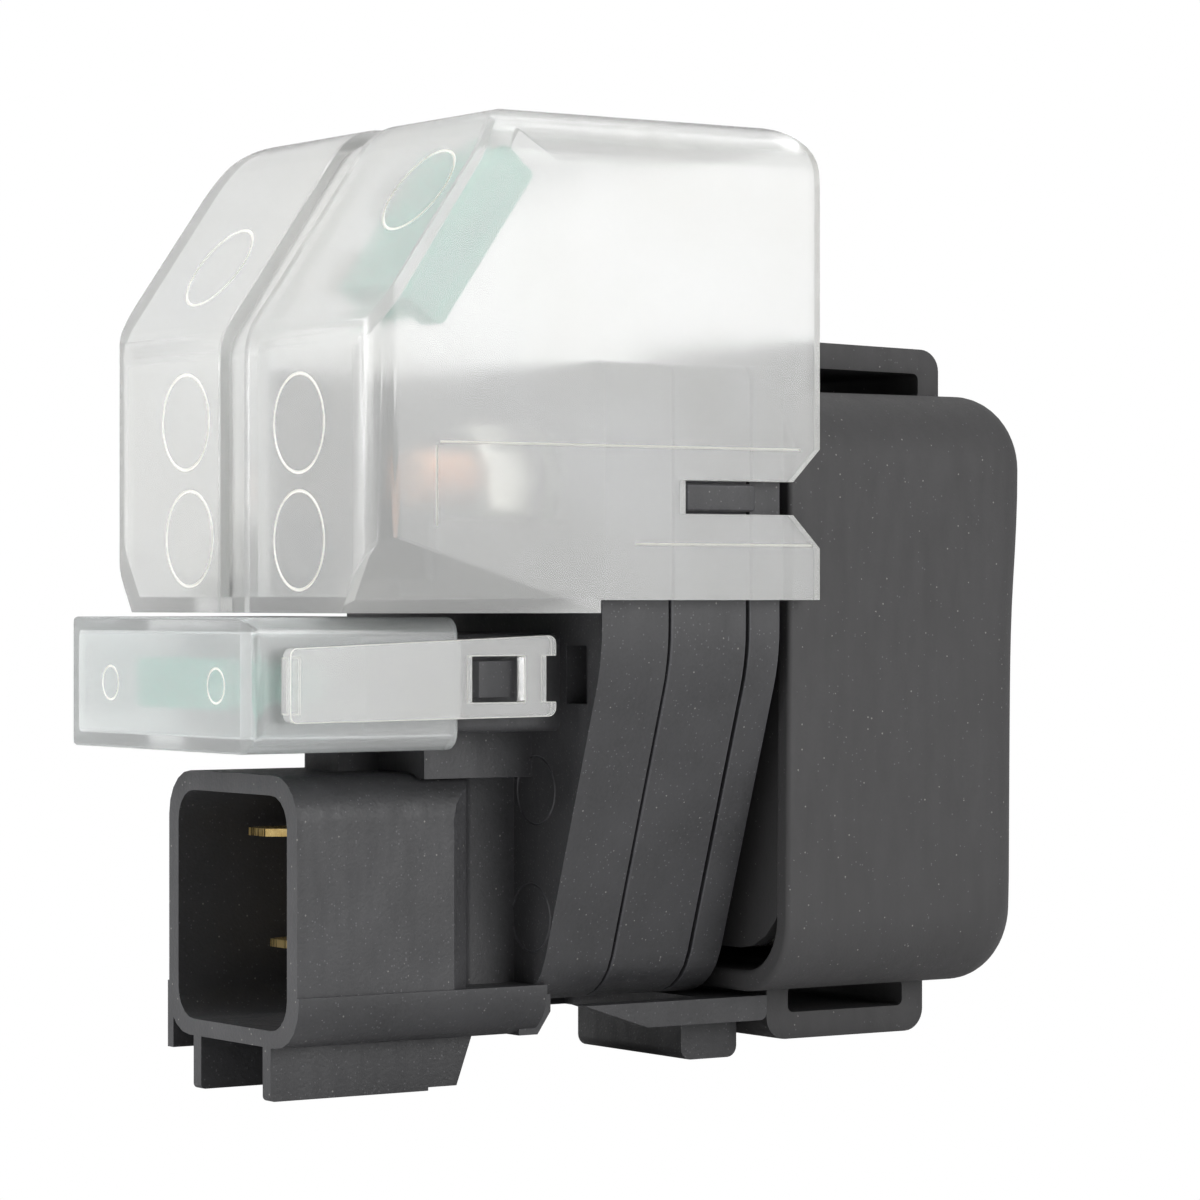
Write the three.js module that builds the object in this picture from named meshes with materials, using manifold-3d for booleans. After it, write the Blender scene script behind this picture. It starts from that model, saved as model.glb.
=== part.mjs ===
// Starter relay with an integral fuse holder and connector: a contactor for a 12 V starter motor, hung
// in a rubber boot from a bracket tab. Millimetres, +Z up, X along the solenoid's axis with the connector
// and the covers at -X, Y across. While the pieces are built, X = 0 is the terminal cover's front face,
// Y = 0 the middle plane and Z = 0 the terminal cover's lower edge. At the end the whole relay is moved
// so that its origin is the middle of the face that bears on the bracket tab in the boot's upper loop.

import * as THREE from 'three';
import { ConvexGeometry } from 'three/addons/geometries/ConvexGeometry.js';
import { mergeVertices } from 'three/addons/utils/BufferGeometryUtils.js';
import Module from 'manifold-3d';

const wasm = await Module();
wasm.setup();

// ---------------------------------------------------------------- driving dimensions (mm)

const GAP = 0.3; // clearance between two pieces that sit against each other
const ARC_STEPS = 5; // chords in each rounded corner of an outline
const COVER_STEPS = 9; // the same for the large corners of the terminal cover
const ROUND_STEPS = 28; // chords in a full turn

const cover = {
  length: 54, width: 54, height: 48.9, wall: 1.6,
  slopeFoot: 26.7, slopeRun: 15.6, foldRadius: 6.5, edgeRadius: 4.5,
  grooveWidth: 5, grooveDepth: 1.4,
  floorEnd: 26.8, floorDrop: 1.3, cornerCutWidth: 5.4, cornerCutHeight: 8.2, cornerCutEnd: 26.8,
  slotStart: 37.1, slotLow: 8.7, slotHigh: 12.1, slotMouth: 3.4,
};

const shell = {
  front: 28.3, frontEnd: 36.4, middleEnd: 46.2, rearEnd: 50.4,
  coverGap: 0.4, top: 24, bottom: -41.4,
  shoulder: -6, shoulderRadius: 20, footHalfWidth: 13, footRadius: 7,
};
const shellTopWidth = cover.width - 2 * (cover.wall + shell.coverGap);

const chamber = { start: 31, sideGap: 0.8, low: -24, high: 19, cornerRadius: 4 };

const socket = { // connector shroud
  mouth: -0.1, halfWidth: 13.2, low: -44.4, high: -17.5, wall: 2, cornerRadius: 4.6,
  floor: 21, skirtHigh: -39.4, skirtStep: 0.3, footDrop: 1.6, tailLength: 2.9,
  neckStart: 18.2, neckHalfWidth: 8.7, neckRadius: 1.2,
};

const blade = {
  thickness: 0.8, width: 6.3, tailWidth: 3.6,
  columnPitch: 11, rowHigh: -23.9, rowLow: -35.5, tipHigh: 6, tipLow: 8.5,
};

const guideRib = { pitch: 14.3, thickness: 1.6, depth: 5.7, end: 23.9, slant: 2.1 };

const fuseBlock = {
  front: 4.7, neckFront: 10.5, neckHalfWidth: 3.2, riserHalfWidth: 12,
  hookStart: 0.5, hookPeak: 1, hookRamp: 3.5,
};

const stud = { pitch: 23, height: 12, radius: 3, end: 13.5, headRadius: 5, headLength: 3.5 };
const nut = { acrossFlats: 10, thickness: 5 };
const flatWasher = { radius: 6, thickness: 1.2 };
const springWasher = { radius: 5.4, thickness: 1.4, split: 0.9 };

const lugTray = {
  start: 8, halfWidth: stud.pitch / 2 + flatWasher.radius + 1.5, floor: 1.6,
  wall: 1.4, wallHeight: 8, dividerStart: 6, dividerWidth: 2.6,
};

const fuseCover = {
  front: -8.9, end: 15.1, halfWidth: 19, low: -15, high: -1.7, wall: 1.4, cornerRadius: 1.8,
};

const latch = {
  root: -5.4, tip: 25.4, thickness: 1.5, rootHigh: -4.7, rootLow: -12, tipHigh: -3.5, tipLow: -11.7,
  windowStart: 15.4, windowEnd: 21.6, windowHigh: -5.6, windowLow: -10.2, barWidth: 2.6, rootLength: 1.6,
  standOff: 0.6,
};

const bladeFuse = {
  width: 19.1, thickness: 5.1, headDepth: 3.4, bodyWidth: 17.4, bodyThickness: 3.8, bodyDepth: 9,
  bladeWidth: 5.2, bladeThickness: 0.7, bladeSpacing: 9.7, bladeLength: 6.4, frontPlace: -4.9,
};

const fixedContact = { thickness: 1.5, halfWidth: 5.2, low: -14, high: 17 };
const bridge = { thickness: 1.5, overhang: 3, halfWidth: 4, travel: 2 };

const solenoid = {
  axisHeight: -9.6, rodRadius: 1.5, coreRadius: 7.5, coreEnd: 64, airGap: 2.4,
  canStart: 55.1, canRadius: 8, canWall: 1.4, bobbinStart: 58, bobbinEndGap: 2.1,
  flangeGap: 1.1, flangeThickness: 1.6, hubWall: 1, windingDepth: 1.1,
};

const boot = {
  front: 52, end: 85.2, halfWidth: shellTopWidth / 2 - 0.4, low: -41, high: 22,
  cornerRadius: 8, rearRadius: 5.4,
  sideWall: 2.3, edgeWall: 4.2, rearWall: 4.4,
  loopStart: 56.8, loopLength: 20.9, upperShift: 2.2, loopHalfWidth: 14, loopWall: 2.8, slotHeight: 2.8,
};

const mouthSealThickness = 1.6;

const clasp = {
  noseStart: 33, noseEnd: 40.8, end: 56, halfWidth: 15, railWidth: 2.6, thickness: 2.6,
  hookStart: 48.6, hookEnd: 55.8, hookDrop: 4.3, hookHalfWidth: 9.8,
};

// sizes of pieces that fit inside others, taken from the sizes above
const chamberHalfWidth = stud.pitch / 2 + fixedContact.halfWidth + chamber.sideGap;
const bridgeHalfLength = stud.pitch / 2 + bridge.overhang;
const can = {
  halfWidth: boot.halfWidth - boot.sideWall - GAP,
  halfHeight: (boot.high - boot.low) / 2 - boot.edgeWall - GAP,
  end: boot.end - boot.rearWall - GAP,
};
const flangeRadius = can.halfWidth - solenoid.canWall - solenoid.flangeGap;
const windingRadius = flangeRadius - solenoid.windingDepth;
const bobbinEnd = can.end - solenoid.canWall - solenoid.bobbinEndGap;

// ---------------------------------------------------------------- solids and outlines

function solidFrom(geometry) {
  const bare = geometry.index ? geometry.toNonIndexed() : geometry.clone();
  bare.deleteAttribute('normal');
  bare.deleteAttribute('uv');
  const merged = mergeVertices(bare, 1e-5);
  return new wasm.Manifold(new wasm.Mesh({
    numProp: 3,
    vertProperties: new Float32Array(merged.attributes.position.array),
    triVerts: new Uint32Array(merged.index.array),
  }));
}

function geometryOf(solid) {
  const mesh = solid.getMesh();
  const geometry = new THREE.BufferGeometry();
  geometry.setAttribute('position', new THREE.BufferAttribute(new Float32Array(mesh.vertProperties), 3));
  geometry.setIndex(new THREE.BufferAttribute(new Uint32Array(mesh.triVerts), 1));
  geometry.computeVertexNormals();
  return geometry;
}

function joined(solids) {
  return solids.reduce((whole, next) => whole.add(next));
}

function cutBy(solid, cutters) {
  return cutters.reduce((left, cutter) => left.subtract(cutter), solid);
}

function box(x0, x1, y0, y1, z0, z1) {
  const geometry = new THREE.BoxGeometry(x1 - x0, y1 - y0, z1 - z0);
  geometry.translate((x0 + x1) / 2, (y0 + y1) / 2, (z0 + z1) / 2);
  return solidFrom(geometry);
}

function extruded(shape, depth) {
  return new THREE.ExtrudeGeometry(shape, { depth, bevelEnabled: false, curveSegments: ARC_STEPS });
}

// a prism along X from a shape drawn in (y, z)
function alongX(shape, x0, x1) {
  const turn = new THREE.Matrix4().makeBasis(
    new THREE.Vector3(0, 1, 0), new THREE.Vector3(0, 0, 1), new THREE.Vector3(1, 0, 0));
  return solidFrom(extruded(shape, x1 - x0).applyMatrix4(turn).translate(x0, 0, 0));
}

// a prism along Y from a shape drawn in (x, z)
function alongY(shape, y0, y1) {
  const turn = new THREE.Matrix4().makeBasis(
    new THREE.Vector3(1, 0, 0), new THREE.Vector3(0, 0, 1), new THREE.Vector3(0, -1, 0));
  return solidFrom(extruded(shape, y1 - y0).applyMatrix4(turn).translate(0, y1, 0));
}

// a prism along Z from a shape drawn in (x, y)
function alongZ(shape, z0, z1) {
  return solidFrom(extruded(shape, z1 - z0).translate(0, 0, z0));
}

// a straight-sided outline; each corner is [u, v] or [u, v, radius]
function outline(corners, steps = ARC_STEPS) {
  const shape = new THREE.Shape();
  const count = corners.length;
  corners.forEach((corner, i) => {
    const here = new THREE.Vector2(corner[0], corner[1]);
    const before = new THREE.Vector2(...corners[(i + count - 1) % count].slice(0, 2)).sub(here);
    const after = new THREE.Vector2(...corners[(i + 1) % count].slice(0, 2)).sub(here);
    const radius = corner[2] ?? 0;
    const halfAngle = Math.acos(before.dot(after) / (before.length() * after.length())) / 2;
    const reach = radius / Math.tan(halfAngle);
    const start = here.clone().addScaledVector(before.normalize(), reach);
    const end = here.clone().addScaledVector(after.normalize(), reach);
    if (i === 0) shape.moveTo(start.x, start.y);
    else shape.lineTo(start.x, start.y);
    if (radius > 0) {
      arcPoints(here, start, end, radius, halfAngle, steps).forEach((p) => shape.lineTo(p.x, p.y));
    }
  });
  shape.closePath();
  return shape;
}

// points on the fillet arc after its start, for the corner whose two tangent points are given
function arcPoints(corner, start, end, radius, halfAngle, steps) {
  const inward = start.clone().add(end).multiplyScalar(0.5).sub(corner).normalize();
  const centre = corner.clone().addScaledVector(inward, radius / Math.sin(halfAngle));
  const from = start.clone().sub(centre);
  const to = end.clone().sub(centre);
  const sweep = Math.atan2(from.cross(to), from.dot(to));
  const points = [];
  for (let k = 1; k <= steps; k += 1) {
    points.push(from.clone().rotateAround(new THREE.Vector2(0, 0), (sweep * k) / steps).add(centre));
  }
  return points;
}

function roundedRect(u0, u1, v0, v1, radius) {
  return outline([[u0, v0, radius], [u1, v0, radius], [u1, v1, radius], [u0, v1, radius]]);
}

// a solid of revolution about a line along X; profile points are [x, r] and start and end on the axis
// or close on themselves
function turned(profile, y, z, steps = ROUND_STEPS) {
  const points = profile.map(([x, r]) => new THREE.Vector2(r, x));
  const geometry = new THREE.LatheGeometry(points, steps);
  geometry.rotateZ(-Math.PI / 2);
  geometry.translate(0, y, z);
  return solidFrom(geometry);
}

function rod(x0, x1, radius, y, z, steps = ROUND_STEPS) {
  return turned([[x0, 0], [x0, radius], [x1, radius], [x1, 0]], y, z, steps);
}

function tube(x0, x1, inner, outer, y, z) {
  return turned([[x0, inner], [x0, outer], [x1, outer], [x1, inner], [x0, inner]], y, z);
}

function mirroredInY(solid) {
  return solid.mirror([0, 1, 0]);
}

// ---------------------------------------------------------------- finishes

const finishes = {
  clearCover: { color: 0xe9ecea, roughness: 0.35, metalness: 0 },
  blackMoulding: { color: 0x2b2b2e, roughness: 0.6, metalness: 0 },
  rubber: { color: 0x3a393b, roughness: 0.75, metalness: 0 },
  greenFuse: { color: 0x2fb58c, roughness: 0.3, metalness: 0 },
  fuseZinc: { color: 0xb9bcbd, roughness: 0.4, metalness: 1 },
  brass: { color: 0xc9a24a, roughness: 0.35, metalness: 1 },
  copper: { color: 0xb5704a, roughness: 0.4, metalness: 1 },
  zincSteel: { color: 0xb4b2a8, roughness: 0.35, metalness: 1 },
  springSteel: { color: 0x9a9c9e, roughness: 0.3, metalness: 1 },
  naturalNylon: { color: 0xd8d2c0, roughness: 0.6, metalness: 0 },
  enamelledWire: { color: 0x8f3f22, roughness: 0.35, metalness: 1 },
};

const relay = new THREE.Group();

function addPiece(name, solid, finish) {
  const mesh = new THREE.Mesh(geometryOf(solid), new THREE.MeshStandardMaterial(finishes[finish]));
  mesh.name = name;
  relay.add(mesh);
}

// ---------------------------------------------------------------- terminal cover

// the cover seen from the side, shrunk by an inset from its front, slope and top
function coverSide(inset, floor) {
  const slopeLength = Math.hypot(cover.slopeRun, cover.height - cover.slopeFoot);
  const footShift = inset * (slopeLength - cover.slopeRun) / (cover.height - cover.slopeFoot);
  const headShift = inset * (slopeLength - (cover.height - cover.slopeFoot)) / cover.slopeRun;
  const fold = cover.foldRadius - inset;
  const end = cover.length + (inset > 0 ? 1 : 0);
  const endRadius = inset > 0 ? 0 : cover.edgeRadius;
  return outline([
    [inset, floor],
    [end, floor],
    [end, cover.height - inset, endRadius],
    [cover.slopeRun + headShift, cover.height - inset, fold],
    [inset, cover.slopeFoot - footShift, fold],
  ], COVER_STEPS);
}

// the cover seen from the front, shrunk by the same inset
function coverFront(inset, floor) {
  const half = cover.width / 2 - inset;
  const radius = cover.edgeRadius + 1.5 - inset;
  return outline([
    [-half, floor], [half, floor],
    [half, cover.height - inset, radius], [-half, cover.height - inset, radius],
  ], COVER_STEPS);
}

// the lower front corner on the far side, cut off by a plane that runs out at the floor's rear end
function cornerCut(inset) {
  const low = -cover.floorDrop;
  const half = cover.width / 2;
  const corners = [
    new THREE.Vector3(0, half, low + cover.cornerCutHeight),
    new THREE.Vector3(0, half - cover.cornerCutWidth, low),
    new THREE.Vector3(cover.cornerCutEnd, half, low),
  ];
  const away = corners[1].clone().sub(corners[0]).cross(corners[2].clone().sub(corners[0])).normalize();
  if (away.z > 0) away.negate();
  const middle = corners[0].clone().add(corners[1]).add(corners[2]).divideScalar(3);
  const wide = corners.map(
    (p) => p.clone().sub(middle).multiplyScalar(4).add(middle).addScaledVector(away, -inset));
  return solidFrom(new ConvexGeometry([...wide, middle.clone().addScaledVector(away, 40)]));
}

// the cover seen from above
function coverPlan(inset) {
  const half = cover.width / 2 - inset;
  const radius = cover.edgeRadius - 1 - inset;
  const end = cover.length + (inset > 0 ? 1 : 0);
  return outline([[inset, -half, radius], [end, -half], [end, half], [inset, half, radius]], COVER_STEPS);
}

function coverBlock(inset, floor) {
  const half = cover.width / 2;
  const front = alongX(coverFront(inset, floor), -1, cover.length + 2);
  const block = alongY(coverSide(inset, floor), -half, half)
    .intersect(front)
    .intersect(alongZ(coverPlan(inset), floor, cover.height));
  return cutBy(block, [cornerCut(inset), mirroredInY(cornerCut(inset))]);
}

function sideSlots() {
  const mouth = outline([
    [cover.slotStart, cover.slotLow],
    [cover.length - cover.slotMouth, cover.slotLow],
    [cover.length + 1, cover.slotLow - cover.slotMouth - 1],
    [cover.length + 1, cover.slotHigh + cover.slotMouth + 1],
    [cover.length - cover.slotMouth, cover.slotHigh],
    [cover.slotStart, cover.slotHigh],
  ]);
  return alongY(mouth, -cover.width / 2 - 1, cover.width / 2 + 1);
}

// two ribs under the slope that grip the ends of the spare fuse
function spareFuseRibs() {
  const pocket = spareFusePlace();
  const half = bladeFuse.width / 2 + GAP;
  const ribs = [-half - 1.2, half].map((along) => {
    const rib = box(along, along + 1.2, -cover.width / 2 + 0.8, -cover.width / 2 + 8, -6.2, 1.5);
    return rib.transform(pocket.elements);
  });
  return joined(ribs).intersect(coverBlock(cover.wall / 2, cover.floorDrop));
}

// frame of the stored fuse: X up the slope, Z out of the slope, Y across
function spareFusePlace() {
  const rise = cover.height - cover.slopeFoot;
  const slopeLength = Math.hypot(cover.slopeRun, rise);
  const up = new THREE.Vector3(cover.slopeRun / slopeLength, 0, rise / slopeLength);
  const out = new THREE.Vector3(-up.z, 0, up.x);
  const depth = cover.wall + 1.3 + bladeFuse.thickness / 2;
  const middle = new THREE.Vector3(cover.slopeRun * 0.56, 0, cover.slopeFoot + rise * 0.56)
    .addScaledVector(out, -depth);
  return new THREE.Matrix4().makeBasis(up, new THREE.Vector3(0, 1, 0), out).setPosition(middle);
}

function terminalCover() {
  const low = -cover.floorDrop;
  const half = cover.width / 2;
  const grooveHalf = cover.grooveWidth / 2;
  const shellOuter = coverBlock(0, low);
  const rearGap = box(cover.floorEnd, cover.length + 1, -half, half, low - 1, 0);
  const grooveKeep = alongY(coverSide(cover.grooveDepth, low - 1), -grooveHalf, grooveHalf);
  const groove = box(-1, cover.slopeRun + 12, -grooveHalf, grooveHalf, low - 1, cover.height + 1)
    .subtract(grooveKeep);
  const centreHalf = grooveHalf + cover.wall;
  const ledge = low + cover.wall;
  const cavity = coverBlock(cover.wall, ledge);
  const rearCavity = coverBlock(cover.wall, low - 0.5)
    .intersect(box(cover.floorEnd, cover.length + 2, -half, half, -3, cover.height));
  const centreBlock = box(-1, cover.slopeRun + 14, -centreHalf, centreHalf, low - 1, cover.height + 1)
    .subtract(alongY(coverSide(cover.wall + cover.grooveDepth, low - 1), -centreHalf, centreHalf));
  const hollow = cavity.add(rearCavity).subtract(centreBlock);
  const bare = cutBy(shellOuter, [rearGap, groove, hollow, sideSlots()]);
  return bare.add(spareFuseRibs());
}

addPiece('terminal_cover', terminalCover(), 'clearCover');

// ---------------------------------------------------------------- blade fuses

// a blade fuse drawn with its width along X, its thickness along Z and its blades towards +Y;
// y = 0 is the outer face of its head
function fuseBody() {
  const { width, thickness, headDepth, bodyWidth, bodyThickness, bodyDepth } = bladeFuse;
  const head = alongY(roundedRect(-width / 2, width / 2, -thickness / 2, thickness / 2, 0.8), 0, headDepth);
  const body = box(-bodyWidth / 2, bodyWidth / 2, headDepth - 0.1, headDepth + bodyDepth,
    -bodyThickness / 2, bodyThickness / 2);
  const slit = bladeFuse.bladeThickness + 2 * GAP;
  const openings = [-1, 1].map((side) => {
    const middle = (side * bladeFuse.bladeSpacing) / 2;
    const reach = bladeFuse.bladeWidth / 2 + GAP;
    return box(middle - reach, middle + reach, headDepth, headDepth + bodyDepth + 1, -slit / 2, slit / 2);
  });
  const bridgeSlot = box(-bladeFuse.bladeSpacing / 2, bladeFuse.bladeSpacing / 2, headDepth,
    headDepth + 2 * GAP + 2, -slit / 2, slit / 2);
  return cutBy(head.add(body), [...openings, bridgeSlot]);
}

// the stamped strip: two blades and the narrow link between them
function fuseElement() {
  const { bladeSpacing, bladeWidth, bladeThickness, bodyDepth, headDepth, bladeLength } = bladeFuse;
  const start = headDepth + GAP;
  const blades = [-1, 1].map((side) => {
    const middle = (side * bladeSpacing) / 2;
    const half = bladeWidth / 2;
    const shape = outline([
      [middle - half, start], [middle + half, start],
      [middle + half, headDepth + bodyDepth + bladeLength, 0.9],
      [middle - half, headDepth + bodyDepth + bladeLength, 0.9],
    ]);
    return alongZ(shape, -bladeThickness / 2, bladeThickness / 2);
  });
  const link = box(-bladeSpacing / 2, bladeSpacing / 2, start, start + 2,
    -bladeThickness / 2, bladeThickness / 2);
  return joined([...blades, link]);
}

const fuseHeight = (fuseCover.low + fuseCover.high) / 2;

function placedInHolder(solid) {
  const turn = new THREE.Matrix4().makeBasis(
    new THREE.Vector3(0, -1, 0), new THREE.Vector3(1, 0, 0), new THREE.Vector3(0, 0, 1));
  return solid.transform(turn.setPosition(bladeFuse.frontPlace, 0, fuseHeight).elements);
}

function placedInCover(solid) {
  const place = spareFusePlace().multiply(
    new THREE.Matrix4().makeTranslation(0, -cover.width / 2 + cover.wall + 1.6, 0));
  return solid.transform(place.elements);
}

addPiece('main_fuse_body', placedInHolder(fuseBody()), 'greenFuse');
addPiece('main_fuse_element', placedInHolder(fuseElement()), 'fuseZinc');
addPiece('spare_fuse_body', placedInCover(fuseBody()), 'greenFuse');
addPiece('spare_fuse_element', placedInCover(fuseElement()), 'fuseZinc');

// ---------------------------------------------------------------- fuse cover and its two latch arms

function fuseCoverShell() {
  const { front, end, halfWidth, low, high, wall, cornerRadius } = fuseCover;
  const plan = outline([
    [front, -halfWidth, cornerRadius], [end, -halfWidth],
    [end, halfWidth], [front, halfWidth, cornerRadius],
  ]);
  const outer = alongX(roundedRect(-halfWidth, halfWidth, low, high, cornerRadius), front, end)
    .intersect(alongZ(plan, low, high));
  const inside = roundedRect(
    -halfWidth + wall, halfWidth - wall, low + wall, high - wall, cornerRadius - wall + 0.2);
  return outer.subtract(alongX(inside, front + wall, end + 1));
}

const latchInner = fuseCover.halfWidth + latch.standOff;

function latchArm() {
  const { root, tip, rootHigh, rootLow, tipHigh, tipLow, thickness, rootLength } = latch;
  const side = outline([
    [root, rootLow, 0.8], [tip, tipLow, 0.9], [tip, tipHigh, 0.9], [root, rootHigh, 0.8],
  ]);
  const arm = alongY(side, latchInner, latchInner + thickness);
  const foot = box(root, root + rootLength, fuseCover.halfWidth + GAP, latchInner + 0.2,
    rootLow + 0.9, rootHigh - 0.9);
  const { windowStart, windowEnd, windowLow, windowHigh, barWidth } = latch;
  const through = (x0, x1) => box(
    x0, x1, latchInner - 1, latchInner + thickness + 1, windowLow, windowHigh);
  return cutBy(arm.add(foot), [through(windowStart, windowEnd), through(windowEnd + barWidth, tip + 1)]);
}

addPiece('fuse_cover', fuseCoverShell(), 'clearCover');
addPiece('latch_arm_far', latchArm(), 'clearCover');
addPiece('latch_arm_near', mirroredInY(latchArm()), 'clearCover');

// ---------------------------------------------------------------- black housing, front to rear

function shellOutline() {
  const { top, bottom, shoulder, shoulderRadius, footHalfWidth, footRadius } = shell;
  const half = shellTopWidth / 2;
  return outline([
    [-footHalfWidth, bottom, footRadius], [footHalfWidth, bottom, footRadius],
    [half, shoulder, shoulderRadius], [half, top, 1.5],
    [-half, top, 1.5], [-half, shoulder, shoulderRadius],
  ]);
}

function chamberSpace(x0, x1) {
  const { low, high, cornerRadius } = chamber;
  return alongX(roundedRect(-chamberHalfWidth, chamberHalfWidth, low, high, cornerRadius), x0, x1);
}

function socketShroud() {
  const { mouth, halfWidth, low, high, wall, cornerRadius, floor, skirtHigh, skirtStep } = socket;
  const end = shell.front + 1;
  const body = alongX(roundedRect(-halfWidth, halfWidth, low, high, cornerRadius), mouth, end);
  const wide = halfWidth + skirtStep;
  const skirt = alongX(roundedRect(-wide, wide, low - skirtStep, high, cornerRadius), mouth, end)
    .intersect(box(mouth - 1, end + 1, -wide, wide, low - 1, skirtHigh));
  const foot = box(mouth, mouth + 10, wide - 1.2, wide,
    low - skirtStep - socket.footDrop, low + cornerRadius);
  const tailEnd = shell.front + socket.tailLength;
  const tail = alongY(outline([
    [shell.front - 1, low - skirtStep], [tailEnd - 1.6, low - skirtStep], [tailEnd, low + 2],
    [tailEnd, shell.bottom + 1], [shell.front - 1, shell.bottom + 1],
  ]), -halfWidth + 2, halfWidth - 2);
  const space = alongX(
    roundedRect(-halfWidth + wall, halfWidth - wall, low + wall - 0.6, high - wall, cornerRadius - 1.4),
    mouth - 1, floor);
  const whole = joined([body.subtract(neckSide()).subtract(mirroredInY(neckSide())), skirt, foot, tail]);
  return joined([whole, ...[-1, 1].map(latchGuideRib)]).subtract(space);
}

// what is taken off the shroud's far side behind the plug's reach, down to the skirt, leaving a neck
function neckSide() {
  const { halfWidth, neckStart, neckHalfWidth, neckRadius, skirtHigh, high } = socket;
  const plan = outline([
    [neckStart, halfWidth + 1], [neckStart, halfWidth], [neckStart + 2.2, halfWidth - 1.2],
    [neckStart + 4.2, neckHalfWidth, neckRadius],
    [shell.front + 2, neckHalfWidth], [shell.front + 2, halfWidth + 1],
  ]);
  return alongZ(plan, skirtHigh - 0.6, high + 1);
}

// the two fins under the shroud that guide the plug's latch
function latchGuideRib(side) {
  const { pitch, thickness, depth, end, slant } = guideRib;
  const middle = (side * pitch) / 2;
  const top = socket.low + 0.4;
  const bottom = socket.low - depth;
  const step = 0.35;
  return alongY(outline([
    [socket.mouth, top], [socket.mouth, bottom, 0.5],
    [end - slant - 3.4, bottom], [end - slant - 3.4, bottom + step],
    [end - slant, bottom + step], [end, top],
  ]), middle - thickness / 2, middle + thickness / 2);
}

function bladePlaces() {
  const { columnPitch, rowHigh, rowLow, tipHigh, tipLow } = blade;
  return [
    { name: 'output_blade_near', y: -columnPitch / 2, z: rowHigh, tip: tipHigh },
    { name: 'output_blade_far', y: columnPitch / 2, z: rowHigh, tip: tipHigh },
    { name: 'coil_blade_near', y: -columnPitch / 2, z: rowLow, tip: tipLow },
    { name: 'coil_blade_far', y: columnPitch / 2, z: rowLow, tip: tipLow },
  ];
}

const bladeBack = chamber.start - GAP;

function bladeSlots() {
  const half = blade.tailWidth / 2 + GAP;
  const thick = blade.thickness / 2 + GAP;
  return bladePlaces().map(
    ({ y, z }) => box(socket.floor - 1, chamber.start + 1, y - half, y + half, z - thick, z + thick));
}

const clipReach = { halfWidth: 2.9, halfHeight: 1.6, start: 8.2, end: 25 };

function fuseBlockSolid() {
  const inset = fuseCover.wall + GAP;
  const halfWidth = fuseCover.halfWidth - inset;
  const block = alongX(
    roundedRect(-halfWidth, halfWidth, fuseCover.low + inset, fuseCover.high - inset, 0.8),
    fuseBlock.front, shell.front + 1);
  const neckTop = fuseCover.low - GAP;
  const support = (x0, half, top) => box(x0, shell.front + 1, -half, half, socket.high - 0.6, top);
  const neck = support(fuseBlock.neckFront, fuseBlock.neckHalfWidth, neckTop);
  const riser = support(fuseCover.end + GAP, fuseBlock.riserHalfWidth, fuseCover.low + inset + 1);
  const seatHalf = bladeFuse.bodyWidth / 2 + GAP;
  const seatHeight = bladeFuse.bodyThickness / 2 + GAP;
  const seatEnd = bladeFuse.frontPlace + bladeFuse.headDepth + bladeFuse.bodyDepth + GAP;
  const seat = box(fuseBlock.front - 1, seatEnd, -seatHalf, seatHalf,
    fuseHeight - seatHeight, fuseHeight + seatHeight);
  const wells = [-1, 1].map((side) => {
    const middle = (side * bladeFuse.bladeSpacing) / 2;
    const reach = clipReach.halfWidth + GAP;
    const tall = clipReach.halfHeight + GAP;
    return box(seatEnd - 1, clipReach.end + GAP, middle - reach, middle + reach,
      fuseHeight - tall, fuseHeight + tall);
  });
  return cutBy(joined([block, neck, riser, latchHook(), mirroredInY(latchHook())]), [seat, ...wells]);
}

// the lug that stands in the latch arm's window, with the ramp that lets the arm ride off it
function latchHook() {
  const start = latch.windowStart + fuseBlock.hookStart;
  const end = latch.windowEnd - GAP;
  const base = fuseCover.halfWidth - fuseCover.wall - 1;
  const peak = latchInner + fuseBlock.hookPeak;
  return alongZ(outline([
    [start, base], [end, base], [end, latchInner - 0.05],
    [end - fuseBlock.hookRamp, peak], [start + 0.6, peak], [start, peak - 0.6],
  ]), latch.windowLow + 0.5, latch.windowHigh - 0.5);
}

function terminalTray() {
  const { start, halfWidth, floor, wall, wallHeight, dividerStart, dividerWidth } = lugTray;
  const low = cover.wall - cover.floorDrop + GAP;
  const end = shell.front + 1;
  const plate = box(start, end, -halfWidth, halfWidth, low, low + floor);
  const divider = box(dividerStart, end, -dividerWidth / 2, dividerWidth / 2, low, shell.top - 0.6);
  const walls = [-1, 1].map((side) => {
    const outer = side * halfWidth;
    const inner = side * (halfWidth - wall);
    return box(start + 4, end, Math.min(outer, inner), Math.max(outer, inner), low, wallHeight);
  });
  return joined([plate, divider, ...walls]);
}

function armPocket() {
  return box(shell.front - 1, shell.front + 2.4, chamberHalfWidth + 1, latchInner + latch.thickness + 1.2,
    latch.windowLow - 0.3, latch.windowHigh + 1);
}

function frontHousing() {
  const plate = alongX(shellOutline(), shell.front, shell.frontEnd);
  const studHoles = [-1, 1].map((side) => rod(shell.front - 1, chamber.start + 1, stud.radius + GAP,
    (side * stud.pitch) / 2, stud.height));
  const whole = joined([plate, socketShroud(), fuseBlockSolid(), terminalTray()]);
  return cutBy(whole, [
    chamberSpace(chamber.start, shell.frontEnd + 1), ...bladeSlots(), ...studHoles,
    armPocket(), mirroredInY(armPocket()),
  ]);
}

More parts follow.
